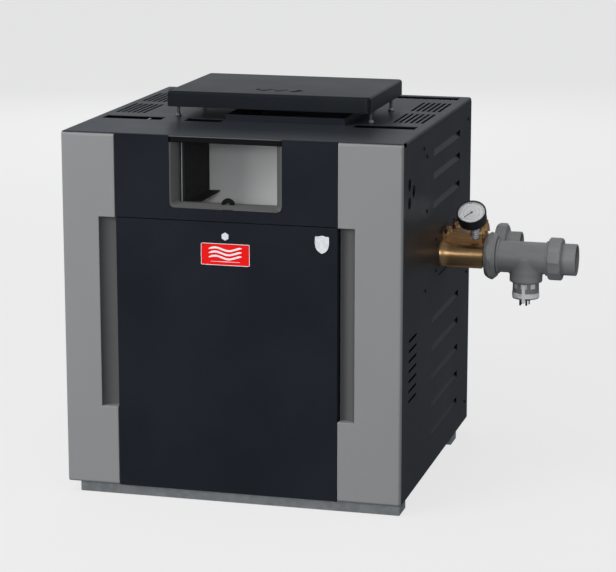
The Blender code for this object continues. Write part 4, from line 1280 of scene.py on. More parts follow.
class HEATER_OT_badge(HeaterOperator, bpy.types.Operator):
    """Enamelled badge with a white rim and a plain sign of rising heat"""

    bl_idname = "heater.badge"
    bl_label = "Badge"

    def build(self, scene):
        low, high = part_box("badge")
        face = low.y + 0.35 * MM

        def upright(a, b, depth):
            return Vector((a, depth, b))

        corner = 2.6 * MM
        shape = bmesh.new()
        plate = rounded_rectangle(low.x, high.x, low.z, high.z, [corner] * 4)
        prism(shape, plate, upright, high.y, face)
        piece("badge_plate", shape, "red_enamel", "front_door", ("badge",), angle=40)

        rim = 0.9 * MM
        inner = rounded_rectangle(
            low.x + rim, high.x - rim, low.z + rim, high.z - rim, [corner - rim] * 4
        )
        shape = bmesh.new()
        rings = [
            [upright(a, b, y) for a, b in outline]
            for outline, y in ((plate, face), (plate, low.y), (inner, low.y), (inner, face))
        ]
        loft(shape, rings, closed=True)
        # Three waves of heat over a level line.
        wide, tall = high.x - low.x, high.z - low.z
        centre = (low + high) / 2
        for step in (-1, 0, 1):
            middle_z = centre.z + tall * (0.05 + 0.19 * step)
            path = wave(centre.x - wide * 0.34, centre.x + wide * 0.34, middle_z, tall * 0.07, 0)
            outline = ribbon(path, tall * 0.085)
            prism(shape, outline, upright, face, low.y + 0.05 * MM)
        line = ribbon([(centre.x - wide * 0.3, centre.z - tall * 0.33),
                       (centre.x, centre.z - tall * 0.33),
                       (centre.x + wide * 0.3, centre.z - tall * 0.33)], tall * 0.04)
        prism(shape, line, upright, face, low.y + 0.05 * MM)
        piece("badge_marks", shape, "white_enamel", "front_door", angle=40)


class HEATER_OT_label(HeaterOperator, bpy.types.Operator):
    """Plain silver shield with a raised rim and a water drop"""

    bl_idname = "heater.label"
    bl_label = "Silver shield"

    def build(self, scene):
        low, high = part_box("rating_label")
        centre, wide, tall = (low + high) / 2, high.x - low.x, high.z - low.z

        def upright(a, b, depth):
            return Vector((a, depth, b))

        half = [(0.0, 0.5), (0.16, 0.47), (0.30, 0.44), (0.42, 0.46), (0.5, 0.40), (0.5, 0.05),
                (0.46, -0.14), (0.36, -0.30), (0.20, -0.42), (0.0, -0.5)]
        outline = half + [(-a, b) for a, b in half[-2:0:-1]]

        def scaled(share):
            return [(centre.x + a * wide * share, centre.z + b * tall * share) for a, b in outline]

        face = (low.y + high.y) / 2
        shape = bmesh.new()
        prism(shape, scaled(1.0), upright, high.y, face)
        piece("shield_plate", shape, "silver_foil", "front_door", ("rating_label",))
        shape = bmesh.new()
        rings = [
            [upright(a, b, y) for a, b in scaled(share)]
            for share, y in ((0.98, face), (0.98, low.y), (0.90, low.y), (0.90, face))
        ]
        loft(shape, rings, closed=True)
        drop = [(0.0, 0.26)]
        drop += [
            (0.17 * math.cos(math.radians(a)), -0.08 + 0.17 * math.sin(math.radians(a)))
            for a in range(30, -211, -20)
        ]
        points = [(centre.x + a * wide, centre.z + b * wide * 1.1) for a, b in drop]
        prism(shape, points, upright, face, low.y + 0.05 * MM)
        piece("shield_marks", shape, "zinc_plate", "front_door", material="bright")


class HEATER_OT_vent_cap(HeaterOperator, bpy.types.Operator):
    """Pressed vent cap with rounded corners and a raised sign of rising heat"""

    bl_idname = "heater.vent_cap"
    bl_label = "Vent cap"

    def build(self, scene):
        low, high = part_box("vent_cap")
        wall = 1.5 * MM
        radius = 9 * MM
        edge = 5 * MM
        raised = 0.8 * MM
        crown_z = high.z - raised
        sections = [(0.0, low.z)]
        sections += [
            (
                edge * (1 - math.cos(math.radians(15 * step))),
                crown_z - edge + edge * math.sin(math.radians(15 * step)),
            )
            for step in range(7)
        ]

        def ring(inset, z):
            points = rounded_rectangle(
                low.x + inset, high.x - inset, low.y + inset, high.y - inset,
                [max(radius - inset, 0.6 * MM)] * 4, 8,
            )
            return [Vector((x, y, z)) for x, y in points]

        rings = [ring(inset, z) for inset, z in sections]
        inner = [ring(inset + wall, z - wall) for inset, z in reversed(sections[1:])]
        rings += inner + [ring(wall, low.z)]
        shape = bmesh.new()
        made = [[shape.verts.new(point) for point in one] for one in rings]
        total = len(made)
        for index in range(total):
            first, second = made[index], made[(index + 1) % total]
            crown = index == len(sections) - 1
            if crown:
                shape.faces.new(first)
                shape.faces.new(second[::-1])
                continue
            for corner in range(len(first)):
                after = (corner + 1) % len(first)
                shape.faces.new((first[corner], first[after], second[after], second[corner]))
        piece("vent_cap_pressing", shape, "grey_steel", stands_for=("vent_cap",), material="cap",
              angle=40)

        # Three short raised waves near the front edge of the crown.
        shape = bmesh.new()
        centre_x = (low.x + high.x) / 2 + 8 * MM
        pitch = 31 * MM
        for step in range(3):
            x0 = centre_x + (step - 1.5) * pitch
            path = wave(x0 + 2 * MM, x0 + pitch - 3 * MM, low.y + 58 * MM, 11 * MM, 0.9 * step, 18)
            outline = ribbon(path, 6.5 * MM)
            prism(shape, outline, lambda a, b, d: Vector((a, b, d)), crown_z, high.z)
        piece("vent_cap_waves", shape, "black_paint", angle=30)


class HEATER_OT_cap_legs(HeaterOperator, bpy.types.Operator):
    """Four threaded spacers that carry the vent cap"""

    bl_idname = "heater.cap_legs"
    bl_label = "Cap spacers"

    def build(self, scene):
        feet = []
        for number in (1, 2, 3, 4):
            name = f"cap_leg_{number}"
            low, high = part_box(name)
            centre = (low + high) / 2
            tall = high.z - low.z
            shape = bmesh.new()
            turned_solid(
                shape,
                [
                    (0, tall),
                    (2.6 * MM, tall),
                    (3.0 * MM, tall - 0.5 * MM),
                    (3.0 * MM, 1.6 * MM),
                    (5.4 * MM, 1.5 * MM),
                    (6.0 * MM, 1.0 * MM),
                    (6.0 * MM, 0.0),
                    (0, 0),
                ],
                Matrix.Translation((centre.x, centre.y, low.z)),
                32,
            )
            # The darker zinc paints the shade under the cap.
            piece(f"cap_spacer_{number}", shape, "zinc_plate", stands_for=(name,), material="dull",
                  angle=40)
            feet.append(((centre.x, centre.y, low.z + 1.5 * MM), (0, 0, 1)))
        hexagons("cap_spacer_nuts", feet, "zinc_plate", across=8 * MM, height=3.4 * MM,
                 washer=10.5 * MM, thick=0.7 * MM)


def union_nut(name, node_name, sides, turn, radius, blunt):
    """A moulded union nut: a prism whose corners run out on a cone at both ends.

    blunt scales that cone. At 1 an eight-sided nut's corners run to a point.
    """
    sizes = bpy.context.scene.heater_pipework
    low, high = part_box(node_name)
    centre = (low + high) / 2
    long = high.x - low.x
    flat = radius * math.cos(math.pi / sides)
    bore = 30.4 * MM
    place = along_x(Vector((low.x, centre.y, centre.z)))
    around = 12 * sides

    def ring(height, limit):
        points = []
        for index in range(around):
            swing = 2 * math.pi * index / around
            from_middle = (swing - turn) % (2 * math.pi / sides) - math.pi / sides
            reach = min(flat / math.cos(from_middle), limit)
            points.append(
                place @ Vector((reach * math.cos(swing), reach * math.sin(swing), height))
            )
        return points

    chamfer = sizes.nut_chamfer * blunt
    drop = 4.0 * MM * blunt
    steps = [
        (chamfer * part, flat - drop + (radius - flat + drop) * part)
        for part in (0.0, 0.2, 0.4, 0.55, 0.7, 0.85, 1.0)
    ]
    rings = [ring(height, limit) for height, limit in steps]
    rings += [ring(long - height, limit) for height, limit in reversed(steps)]
    rings += [ring(long, bore), ring(0.0, bore)]
    shape = bmesh.new()
    loft(shape, rings, closed=True)
    return piece(name, shape, "grey_pipe_plastic", node_name, (node_name,), angle=14)


class HEATER_OT_union_nuts(HeaterOperator, bpy.types.Operator):
    """The three moulded union nuts"""

    bl_idname = "heater.union_nuts"
    bl_label = "Union nuts"

    def build(self, scene):
        half = math.pi / 8
        for name, node_name, sides, turn, radius, blunt in (
            ("outlet_octagon_nut", "outlet_header_nut", 8, 0.0, 46 * MM, 1.0),
            ("inlet_octagon_nut", "inlet_header_nut", 8, half, 46 * MM, 0.4),
            ("outlet_ribbed_nut", "outlet_union_nut", 12, 0.0, 41 * MM, 0.33),
        ):
            union_nut(name, node_name, sides, turn, radius, blunt)


class HEATER_OT_tee(HeaterOperator, bpy.types.Operator):
    """Moulded tee, whose branch flows into its barrel"""

    bl_idname = "heater.tee"
    bl_label = "Tee"

    def build(self, scene):
        sizes = scene.heater_pipework
        low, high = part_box("outlet_tee")
        barrel = 30 * MM
        axis_z = high.z - barrel
        axis_y = (low.y + high.y) / 2
        branch_x = middle("anode_cap").x
        segments = sizes.segments
        shape = bmesh.new()
        lip = 2.2 * MM
        turned_solid(
            shape,
            [(0, 0), (barrel - lip / 2, 0), (barrel, lip / 2), (barrel, high.x - low.x - lip / 2),
             (barrel - lip / 2, high.x - low.x), (0, high.x - low.x)],
            along_x(Vector((low.x, axis_y, axis_z))),
            segments,
        )
        tee = link("moulded_tee", plain_mesh("moulded_tee", shape))
        branch = 31 * MM
        down = Matrix.Translation((branch_x, axis_y, axis_z)) @ Matrix.Rotation(math.pi, 4, "X")
        drop = axis_z - low.z
        parts = (
            ("UNION", [(0, 0), (branch, 0), (branch, drop - MM), (branch - MM, drop), (0, drop)],
             down),
            ("DIFFERENCE", [(0, 0), (22.5 * MM, 0), (22.5 * MM, drop + 9 * MM),
                            (0, drop + 9 * MM)], down),
            ("DIFFERENCE", [(0, 0), (25.5 * MM, 0), (25.5 * MM, high.x - low.x + 18 * MM),
                            (0, high.x - low.x + 18 * MM)],
             along_x(Vector((low.x - 9 * MM, axis_y, axis_z)))),
        )
        helpers = []
        for index, (operation, profile, place) in enumerate(parts):
            shape = bmesh.new()
            turned_solid(shape, profile, place, segments)
            helper = link(f"tee_{index}", plain_mesh(f"tee_{index}", shape))
            step = tee.modifiers.new(operation, "BOOLEAN")
            step.operation = operation
            step.solver = "MANIFOLD"
            step.object = helper
            helpers.append(helper)
        # The mould blends the branch into the barrel: a fine grid and a little smoothing do that.
        grid = tee.modifiers.new("grid", "REMESH")
        grid.mode = "VOXEL"
        grid.voxel_size = sizes.tee_blend
        ease = tee.modifiers.new("blend", "SMOOTH")
        ease.factor = 0.5
        ease.iterations = 7
        applied(tee)
        for helper in helpers:
            bpy.data.objects.remove(helper, do_unlink=True)
        settle(tee, "grey_pipe_plastic", stands_for=("outlet_tee",), angle=60)
        # A raised seat at each end, where the union nut bears.
        for name, x0, x1 in (
            ("tee_seat_outer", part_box("outlet_union_nut")[0].x - 6 * MM,
             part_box("outlet_union_nut")[0].x - 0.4 * MM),
            ("tee_seat_inner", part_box("outlet_header_nut")[1].x + 0.4 * MM,
             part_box("outlet_header_nut")[1].x + 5 * MM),
        ):
            shape = bmesh.new()
            wide = x1 - x0
            turned(
                shape,
                [(29.2 * MM, 0), (32.4 * MM, 0.3 * MM), (32.8 * MM, 1.0 * MM),
                 (32.8 * MM, wide - MM), (32.4 * MM, wide - 0.3 * MM), (29.2 * MM, wide)],
                along_x(Vector((x0, axis_y, axis_z))),
                segments,
            )
            piece(name, shape, "grey_pipe_plastic", angle=40)


class HEATER_OT_tails(HeaterOperator, bpy.types.Operator):
    """Plain pipe tails, bored for solvent-cemented pipe"""

    bl_idname = "heater.tails"
    bl_label = "Pipe tails"

    def build(self, scene):
        segments = scene.heater_pipework.segments
        for name in ("outlet_tail", "inlet_tail"):
            low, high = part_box(name)
            centre = (low + high) / 2
            long = high.x - low.x
            outer, bore, edge = 30 * MM, 25.5 * MM, 1.2 * MM
            shape = bmesh.new()
            turned(
                shape,
                [
                    (bore, 0),
                    (outer - edge, 0),
                    (outer, edge),
                    (outer, long - edge),
                    (outer - edge * 0.4, long - edge * 0.4),
                    (outer - edge, long),
                    (bore + edge, long),
                    (bore + edge * 0.3, long - edge * 0.5),
                    (bore, long - edge * 1.5),
                ],
                along_x(Vector((low.x, centre.y, centre.z))),
                segments,
            )
            piece(name + "_moulding", shape, "grey_pipe_plastic", stands_for=(name,), angle=35)


class HEATER_OT_header(HeaterOperator, bpy.types.Operator):
    """Cast bronze header: two spigots, the neck between them, its bolts and the panel flange"""

    bl_idname = "heater.header"
    bl_label = "Water header"

    def build(self, scene):
        sizes = scene.heater_fasteners
        softened("port_header", "bronze", width=1.3 * MM, segments=3)
        softened("return_header", "cast_iron", width=1.5 * MM, segments=3)
        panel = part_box("right_side_panel")[1].x
        front = middle("outlet_header_nut")
        shape = bmesh.new()
        # A plate inside the panel closes the cut-out round the casting.
        points = rounded_rectangle(-35 * MM, 190 * MM, 368 * MM, 484 * MM, [6 * MM] * 4)
        prism(shape, points, lambda a, b, d: Vector((d, a, b)), panel - 3.2 * MM, panel - 1.6 * MM)
        piece("cut_out_plate", shape, "dark_steel")
        back = middle("inlet_header_nut")
        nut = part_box("outlet_header_nut")[0].x
        # A bell where each spigot leaves the cabinet, and a bead before its nut.
        for name, centre, end in (
            ("outlet_spigot_bell", front, nut),
            ("inlet_spigot_bell", back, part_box("inlet_header_nut")[0].x),
        ):
            shape = bmesh.new()
            start = panel - 8 * MM
            skin = 20.6 * MM
            bell = [(25.4, 0.0), (25.4, 9.5), (25.0, 11.5), (24.0, 14.0), (23.0, 17.5),
                    (22.3, 22.0), (21.9, 27.0)]
            profile = [(radius * MM, height * MM) for radius, height in bell]
            run = end - start
            profile += [(21.8 * MM, run - 5 * MM), (23.4 * MM, run - 3.5 * MM),
                        (23.4 * MM, run - 1.0 * MM), (skin, run - 0.4 * MM), (skin, 0.0)]
            turned(shape, profile, along_x(Vector((start, centre.y, centre.z))), 96)
            piece(name, shape, "bronze", angle=35)
        # Cast lugs and a rib on the neck.
        neck_y = (front.y + back.y) / 2
        top = front.z + 38 * MM
        shape = bmesh.new()
        for x, y, radius, height in (
            (panel + 8 * MM, neck_y - 26 * MM, 8 * MM, 4 * MM),
            (nut - 18 * MM, neck_y - 20 * MM, 9 * MM, 9 * MM),
            (nut - 16 * MM, neck_y + 18 * MM, 9 * MM, 12 * MM),
            (panel + 14 * MM, neck_y + 22 * MM, 8 * MM, 4 * MM),
        ):
            turned_solid(
                shape,
                [(0, height), (radius * 0.72, height), (radius * 0.88, height - 1.2 * MM),
                 (radius * 1.1, -3 * MM), (0, -3 * MM)],
                Matrix.Translation((x, y, top)),
                32,
            )
        piece("header_lugs", shape, "bronze", angle=40)
        rail = bmesh.new()
        points = rounded_rectangle(panel + 2 * MM, nut - 10 * MM, neck_y - 31.5 * MM,
                                   neck_y + 31.5 * MM, [5 * MM] * 4)
        prism(rail, points, lambda a, b, d: Vector((a, b, d)), top - 12 * MM, top - 9 * MM)
        piece("header_joint_flange", rail, "bronze", angle=40)
        bolts = [
            ((panel + 8 * MM, neck_y - 26 * MM, top + 4 * MM), (0, 0, 1)),
            ((nut - 18 * MM, neck_y - 20 * MM, top + 9 * MM), (0, 0, 1)),
            ((nut - 16 * MM, neck_y + 18 * MM, top + 12 * MM), (0, 0, 1)),
            ((panel + 14 * MM, neck_y + 22 * MM, top + 4 * MM), (0, 0, 1)),
        ]
        hexagons("header_bolts", bolts, "bronze", across=sizes.bolt_across,
                 height=sizes.bolt_height, washer=14 * MM, thick=1.2 * MM)


class HEATER_OT_anode(HeaterOperator, bpy.types.Operator):
    """Windowed anode cap, its rod, its threaded plug and the bonding lug"""

    bl_idname = "heater.anode"
    bl_label = "Anode"

    def build(self, scene):
        softened("anode_cap", "grey_pipe_plastic", body="anode", width=0.4 * MM)
        low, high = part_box("anode_rod")
        centre = (low + high) / 2
        radius = (high.x - low.x) / 2
        tall = high.z - low.z
        shape = bmesh.new()
        turned_solid(
            shape,
            [(0, tall), (radius * 0.6, tall), (radius, tall - 1.5 * MM), (radius, 1.0 * MM),
             (radius * 0.85, 0), (0, 0)],
            Matrix.Translation((centre.x, centre.y, low.z)),
            40,
        )
        piece("anode_casting", shape, "zinc_plate", "anode", ("anode_rod",), "anode", 40)
        cap_low, cap_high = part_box("anode_cap")
        # The white seal stands inside the cap and shows through its windows.
        shape = bmesh.new()
        reach = (cap_high.x - cap_low.x) / 2
        wide = cap_high.z - cap_low.z
        turned(
            shape,
            [(reach - 6.5 * MM, 5 * MM), (reach - 2.6 * MM, 5 * MM),
             (reach - 2.6 * MM, wide - MM), (reach - 6.5 * MM, wide - MM)],
            Matrix.Translation((centre.x, centre.y, cap_low.z)),
            64,
        )
        piece("anode_seal", shape, "zinc_plate", "anode", material="anode", angle=40)
        thread(
            "anode_cap_thread",
            (centre.x, centre.y, cap_low.z + 2.0 * MM),
            (0, 0, 1),
            reach + 0.1 * MM,
            9 * MM,
            "zinc_plate",
            "anode",
            depth=0.9 * MM,
            material="anode",
        )
        # A white tab down the front of the cap, and the two black prongs under it.
        front = centre.y - reach
        shape = bmesh.new()
        points = rounded_rectangle(
            centre.x - 3.2 * MM, centre.x + 2.8 * MM, cap_low.z - 6 * MM, cap_high.z - 2 * MM,
            [1.5 * MM] * 4,
        )
        prism(shape, points, lambda a, b, d: Vector((a, d, b)), front - 1.6 * MM, front + 0.6 * MM)
        piece("anode_tab", shape, "zinc_plate", "anode", material="anode", angle=40)
        shape = bmesh.new()
        for x in (centre.x - 6.4 * MM, centre.x + 5.2 * MM):
            points = rounded_rectangle(x - 1.8 * MM, x + 1.8 * MM, cap_low.z - 11 * MM,
                                       cap_low.z + 2 * MM, [1.2 * MM] * 4)
            prism(shape, points, lambda a, b, d: Vector((a, d, b)), front + 1.5 * MM,
                  front + 4.5 * MM)
        piece("anode_prongs", shape, "black_paint", "anode", angle=40)
        # A threaded plug stands in the cap beside the rod and carries the bonding wire.
        plug = Vector((centre.x + 9.5 * MM, centre.y - 7 * MM, cap_low.z + 4.4 * MM))
        run = 13 * MM
        shape = bmesh.new()
        turned_solid(
            shape,
            [(0, run), (4.2 * MM, run), (5.0 * MM, run - 0.8 * MM), (5.0 * MM, 0), (0, 0)],
            Matrix.Translation(plug),
            32,
        )
        piece("anode_plug", shape, "zinc_plate", "anode", angle=40)
        thread("anode_plug_thread", plug + Vector((0, 0, 0.8 * MM)), (0, 0, 1), 5.0 * MM,
               run - 2 * MM, "zinc_plate", "anode")
        softened("bonding_lug", "black_paint", body="anode", width=0.3 * MM)


class HEATER_OT_gauge(HeaterOperator, bpy.types.Operator):
    """Pressure gauge: case, dial with its marks, needle, glass and threaded stem"""

    bl_idname = "heater.gauge"
    bl_label = "Pressure gauge"

    def build(self, scene):
        marks = scene.heater_dial
        joint = next(j for j in frame["joints"] if j["name"] == "gauge_needle_turn")
        inward = Vector(joint["axis"]).normalized()
        outward = -inward
        turn = outward.to_track_quat("Z", "Y").to_matrix().to_4x4()
        # The dial's up stays in the plane of the gauge's tilt.
        up = turn.to_3x3() @ Vector((0, 1, 0))
        if up.z < 0:
            turn = turn @ Matrix.Rotation(math.pi, 4, "Z")
        case_low, case_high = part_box("gauge_case")
        radius = (case_high.x - case_low.x) / 2 + 1.6 * MM
        lens = middle("gauge_lens")
        face = lens + outward * 0.6 * MM
        place = Matrix.Translation(face) @ turn
        deep = 26 * MM
        rim = 2.5 * MM
        shape = bmesh.new()
        turned_solid(
            shape,
            [
                (0, -5.0 * MM),
                (radius - rim, -5.0 * MM),
                (radius - rim, -0.8 * MM),
                (radius - rim + 0.5 * MM, -0.1 * MM),
                (radius - 1.0 * MM, 0.0),
                (radius - 0.2 * MM, -0.8 * MM),
                (radius, -2.0 * MM),
                (radius, -6.0 * MM),
                (radius - 0.8 * MM, -6.8 * MM),
                (radius - 0.8 * MM, -deep + 3 * MM),
                (radius - 3.2 * MM, -deep),
                (0, -deep),
            ],
            place,
        )
        piece("gauge_housing", shape, "black_paint", stands_for=("gauge_case",), angle=35)

        disc = radius - rim - 0.35 * MM
        plate_top = -3.7 * MM
        shape = bmesh.new()
        turned_solid(
            shape,
            [(0, plate_top), (disc - 0.3 * MM, plate_top), (disc, plate_top - 0.3 * MM),
             (disc, plate_top - 0.95 * MM), (0, plate_top - 0.95 * MM)],
            place,
        )
        piece("dial_plate", shape, "white_enamel", stands_for=("gauge_dial",), material="dial")

        # Two printed rings and a row of marks over 270 degrees.
        shape = bmesh.new()
        lift = plate_top + 0.06 * MM
        for ring, wide in ((disc * 0.93, 0.35 * MM), (disc * 0.62, 0.3 * MM),
                           (disc * 0.36, 0.25 * MM)):
            turned(
                shape,
                [(ring - wide, lift - 0.1 * MM), (ring - wide, lift), (ring, lift),
                 (ring, lift - 0.1 * MM)],
                place,
            )
        piece("dial_rings", shape, "black_paint")
        shape = bmesh.new()
        outer = disc * 0.9
        block(
            shape,
            (outer - marks.tick_length, -marks.tick_width / 2, lift - 0.1 * MM),
            (outer, marks.tick_width / 2, lift),
        )
        made = grown(
            "ring",
            plain_mesh("dial_marks", shape),
            "dial_marks",
            Count=marks.ticks,
            Start=math.radians(-45),
            Step=marks.sweep / (marks.ticks - 1),
            Material=MATERIALS["black_paint"],
        )
        made.data.transform(place)
        settle(made, "black_paint")

        softened("gauge_needle", "black_paint", body="gauge_needle", width=0.1 * MM)

        # Domed glass.
        shape = bmesh.new()
        glass = disc
        turned_solid(
            shape,
            [(0, 0.0), (glass * 0.5, -0.10 * MM), (glass * 0.9, -0.5 * MM), (glass, -0.8 * MM),
             (glass, -1.2 * MM), (0, -1.2 * MM)],
            place,
        )
        piece("gauge_glass", shape, "clear_glass", stands_for=("gauge_lens",), angle=40)

        # The tilted neck under the case, and the upright threaded fitting that it screws into.
        stem = face - outward * (deep + 0.3 * MM)
        run = 33 * MM
        shape = bmesh.new()
        down = Matrix.Translation(stem) @ turn
        turned_solid(
            shape,
            [(0, 0), (6.0 * MM, 0), (6.0 * MM, -12 * MM), (5.2 * MM, -13 * MM),
             (5.2 * MM, -run + 0.6 * MM), (4.6 * MM, -run), (0, -run)],
            down,
            48,
        )
        piece("gauge_stem_turning", shape, "zinc_plate", stands_for=("gauge_stem",), angle=40)
        foot = Vector((lens.x + 4.5 * MM, lens.y + 21 * MM, lens.z - 57 * MM))
        tall = 30 * MM
        upright = Matrix.Translation(foot)
        shape = bmesh.new()
        turned_solid(
            shape,
            [(0, tall), (5.6 * MM, tall), (6.4 * MM, tall - 0.8 * MM), (6.4 * MM, 0.8 * MM),
             (5.6 * MM, 0), (0, 0)],
            upright,
            48,
        )
        piece("gauge_fitting", shape, "zinc_plate", angle=40)
        thread("gauge_fitting_thread", foot + Vector((0, 0, 1.5 * MM)), (0, 0, 1), 6.9 * MM,
               tall - 4 * MM, "zinc_plate", depth=1.1 * MM, material="bright", pitch=3.4 * MM)


class HEATER_OT_finned_core(HeaterOperator, bpy.types.Operator):
    """Heat exchanger: a stack of copper fins on six tubes, between two tube sheets"""

    bl_idname = "heater.finned_core"
    bl_label = "Finned core"

    def build(self, scene):
        sizes = scene.heater_exchanger
        low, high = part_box("heat_exchanger")
        centre = (low + high) / 2
        sheet = 10 * MM
        lip = 7 * MM
        fins_low = Vector((low.x + 28 * MM, low.y + lip, low.z + lip))
        fins_high = Vector((high.x - 28 * MM, high.y - lip, high.z - lip))
        tubes = [centre.y + 48 * MM * (index - 2.5) for index in range(6)]
        shape = bmesh.new()
        for x0, x1 in ((low.x, low.x + sheet), (high.x - sheet, high.x)):
            points = rounded_rectangle(low.y, high.y, low.z, high.z, [5 * MM] * 4)
            prism(shape, points, lambda a, b, d: Vector((d, a, b)), x0, x1)
        for y in tubes:
            turned(
                shape,
                [(9.5 * MM, 0), (11 * MM, 0), (11 * MM, high.x - low.x),
                 (9.5 * MM, high.x - low.x)],
                along_x(Vector((low.x, y, centre.z))),
                32,
            )
        piece("core_tubes", shape, "copper_fins", stands_for=("heat_exchanger",), angle=40)
        # One fin: a plate whose two long edges are scalloped between the tubes.
        shape = bmesh.new()
        thick = sizes.fin_thickness
        span = fins_high.y - fins_low.y
        steps = 48
        edge = [
            (fins_low.y + span * i / steps,
             1.2 * MM * math.cos(2 * math.pi * span / (48 * MM) * i / steps))
            for i in range(steps + 1)
        ]
        outline = [(y, fins_low.z + 1.3 * MM - bend) for y, bend in edge]
        outline += [(y, fins_high.z - 1.3 * MM + bend) for y, bend in reversed(edge)]
        prism(shape, outline, lambda a, b, d: Vector((d, a, b)), fins_low.x, fins_low.x + thick)
        number = int((fins_high.x - fins_low.x - thick) / sizes.fin_pitch) + 1
        made = grown(
            "row",
            plain_mesh("core_fins", shape),
            "core_fins",
            Count=number,
            Step=(sizes.fin_pitch, 0.0, 0.0),
            Material=MATERIALS["copper_fins"],
        )
        settle(made, "copper_fins", angle=None)


class HEATER_OT_chamber(HeaterOperator, bpy.types.Operator):
    """Fibre walls of the chamber, the hood over the core and the flue collar"""

    bl_idname = "heater.chamber"
    bl_label = "Chamber and flue"

    def build(self, scene):
        for wall in ("front", "back", "left", "right"):
            softened("refractory_" + wall, "ceramic_fibre", width=2.5 * MM, segments=3)
        softened("flue_hood", "galvanised_steel", width=0.5 * MM)
        # The collar takes the dark cabinet coat, not galvanised zinc: painted shade under the vent cap.
        softened("flue_collar", "dark_steel", width=0.5 * MM)


class HEATER_OT_burners(HeaterOperator, bpy.types.Operator):
    """Five tube burners with punched flame ports, and the tray that holds them"""

    bl_idname = "heater.burners"
    bl_label = "Burners"

    def build(self, scene):
        sizes = scene.heater_exchanger
        softened("burner_tray", "galvanised_steel", width=0.5 * MM)
        for number in range(1, 6):
            name = f"burner_{number}"
            low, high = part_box(name)
            centre = (low + high) / 2
            radius = (high.x - low.x) / 2
            long = high.y - low.y
            place = Matrix.Translation((centre.x, high.y, centre.z)) @ Matrix.Rotation(
                math.radians(90), 4, "X"
            )
            shape = bmesh.new()
            bore = radius - 1.2 * MM
            turned(
                shape,
                [
                    (bore, long),
                    (radius * 0.98, long),
                    (radius, long - 1.5 * MM),
                    (radius * 0.80, long - 16 * MM),
                    (radius * 0.80, long - 34 * MM),
                    (radius, long - 60 * MM),
                    (radius, 3 * MM),
                    (radius - 2 * MM, 0),
                    (0.3 * MM, 0),
                    (0.3 * MM, 1.2 * MM),
                    (radius - 3.4 * MM, 2.4 * MM),
                    (bore - 0.6 * MM, 4 * MM),
                    (bore - 0.6 * MM, long - 61 * MM),
                    (radius * 0.80 - 1.2 * MM, long - 34 * MM),
                    (radius * 0.80 - 1.2 * MM, long - 16 * MM),
                    (bore, long - 3 * MM),
                ],
                place,
                40,
            )
            piece(f"burner_tube_{number}", shape, "galvanised_steel", stands_for=(name,), angle=40)
            # Flame ports: raised lips along the crown.
            shape = bmesh.new()
            start = high.y - 22 * MM
            half = sizes.port_length / 2
            block(
                shape,
                (centre.x - half, start - 2.2 * MM, centre.z + radius * 0.90),
                (centre.x + half, start, centre.z + radius * 0.999),
            )
            ports = grown(
                "row",
                plain_mesh(f"burner_ports_{number}", shape),
                f"burner_ports_{number}",
                Count=int((long - 110 * MM) / sizes.port_pitch),
                Step=(0.0, -sizes.port_pitch, 0.0),
                Material=MATERIALS["cast_iron"],
            )
            settle(ports, "cast_iron")


class HEATER_OT_gas_train(HeaterOperator, bpy.types.Operator):
    """Gas valve with its knob, the manifold, the inlet pipe and the igniter"""

    bl_idname = "heater.gas_train"
    bl_label = "Gas train"

    def build(self, scene):
        low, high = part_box("gas_valve")
        softened("gas_valve", "cast_aluminium", width=2.0 * MM, segments=3)
        shape = bmesh.new()
        centre = (low + high) / 2
        for side in (-1, 1):
            x = centre.x + side * 12 * MM
            for z in (centre.z - 20 * MM, centre.z + 20 * MM):
                points = rounded_rectangle(x - 8 * MM, x + 8 * MM, z - 8 * MM, z + 8 * MM,
                                           [3 * MM] * 4)
                prism(shape, points, lambda a, b, d: Vector((a, d, b)), low.y - 3 * MM,
                      low.y + MM)
        piece("valve_bosses", shape, "cast_aluminium", angle=30)
        screws = [
            ((centre.x + side * 12 * MM, low.y - 3 * MM, centre.z + up * 20 * MM), (0, -1, 0))
            for side in (-1, 1)
            for up in (-1, 1)
        ]
        hexagons("valve_screws", screws, "zinc_plate", across=6 * MM, height=2.6 * MM,
                 washer=8 * MM, thick=0.6 * MM)
        softened("gas_valve_knob", "red_enamel", body="gas_valve_knob", width=0.6 * MM)
        softened("gas_manifold", "cast_iron", width=0.6 * MM)
        softened("gas_inlet_pipe", "cast_iron", width=0.6 * MM)
        softened("igniter", "ceramic_fibre", width=0.3 * MM)


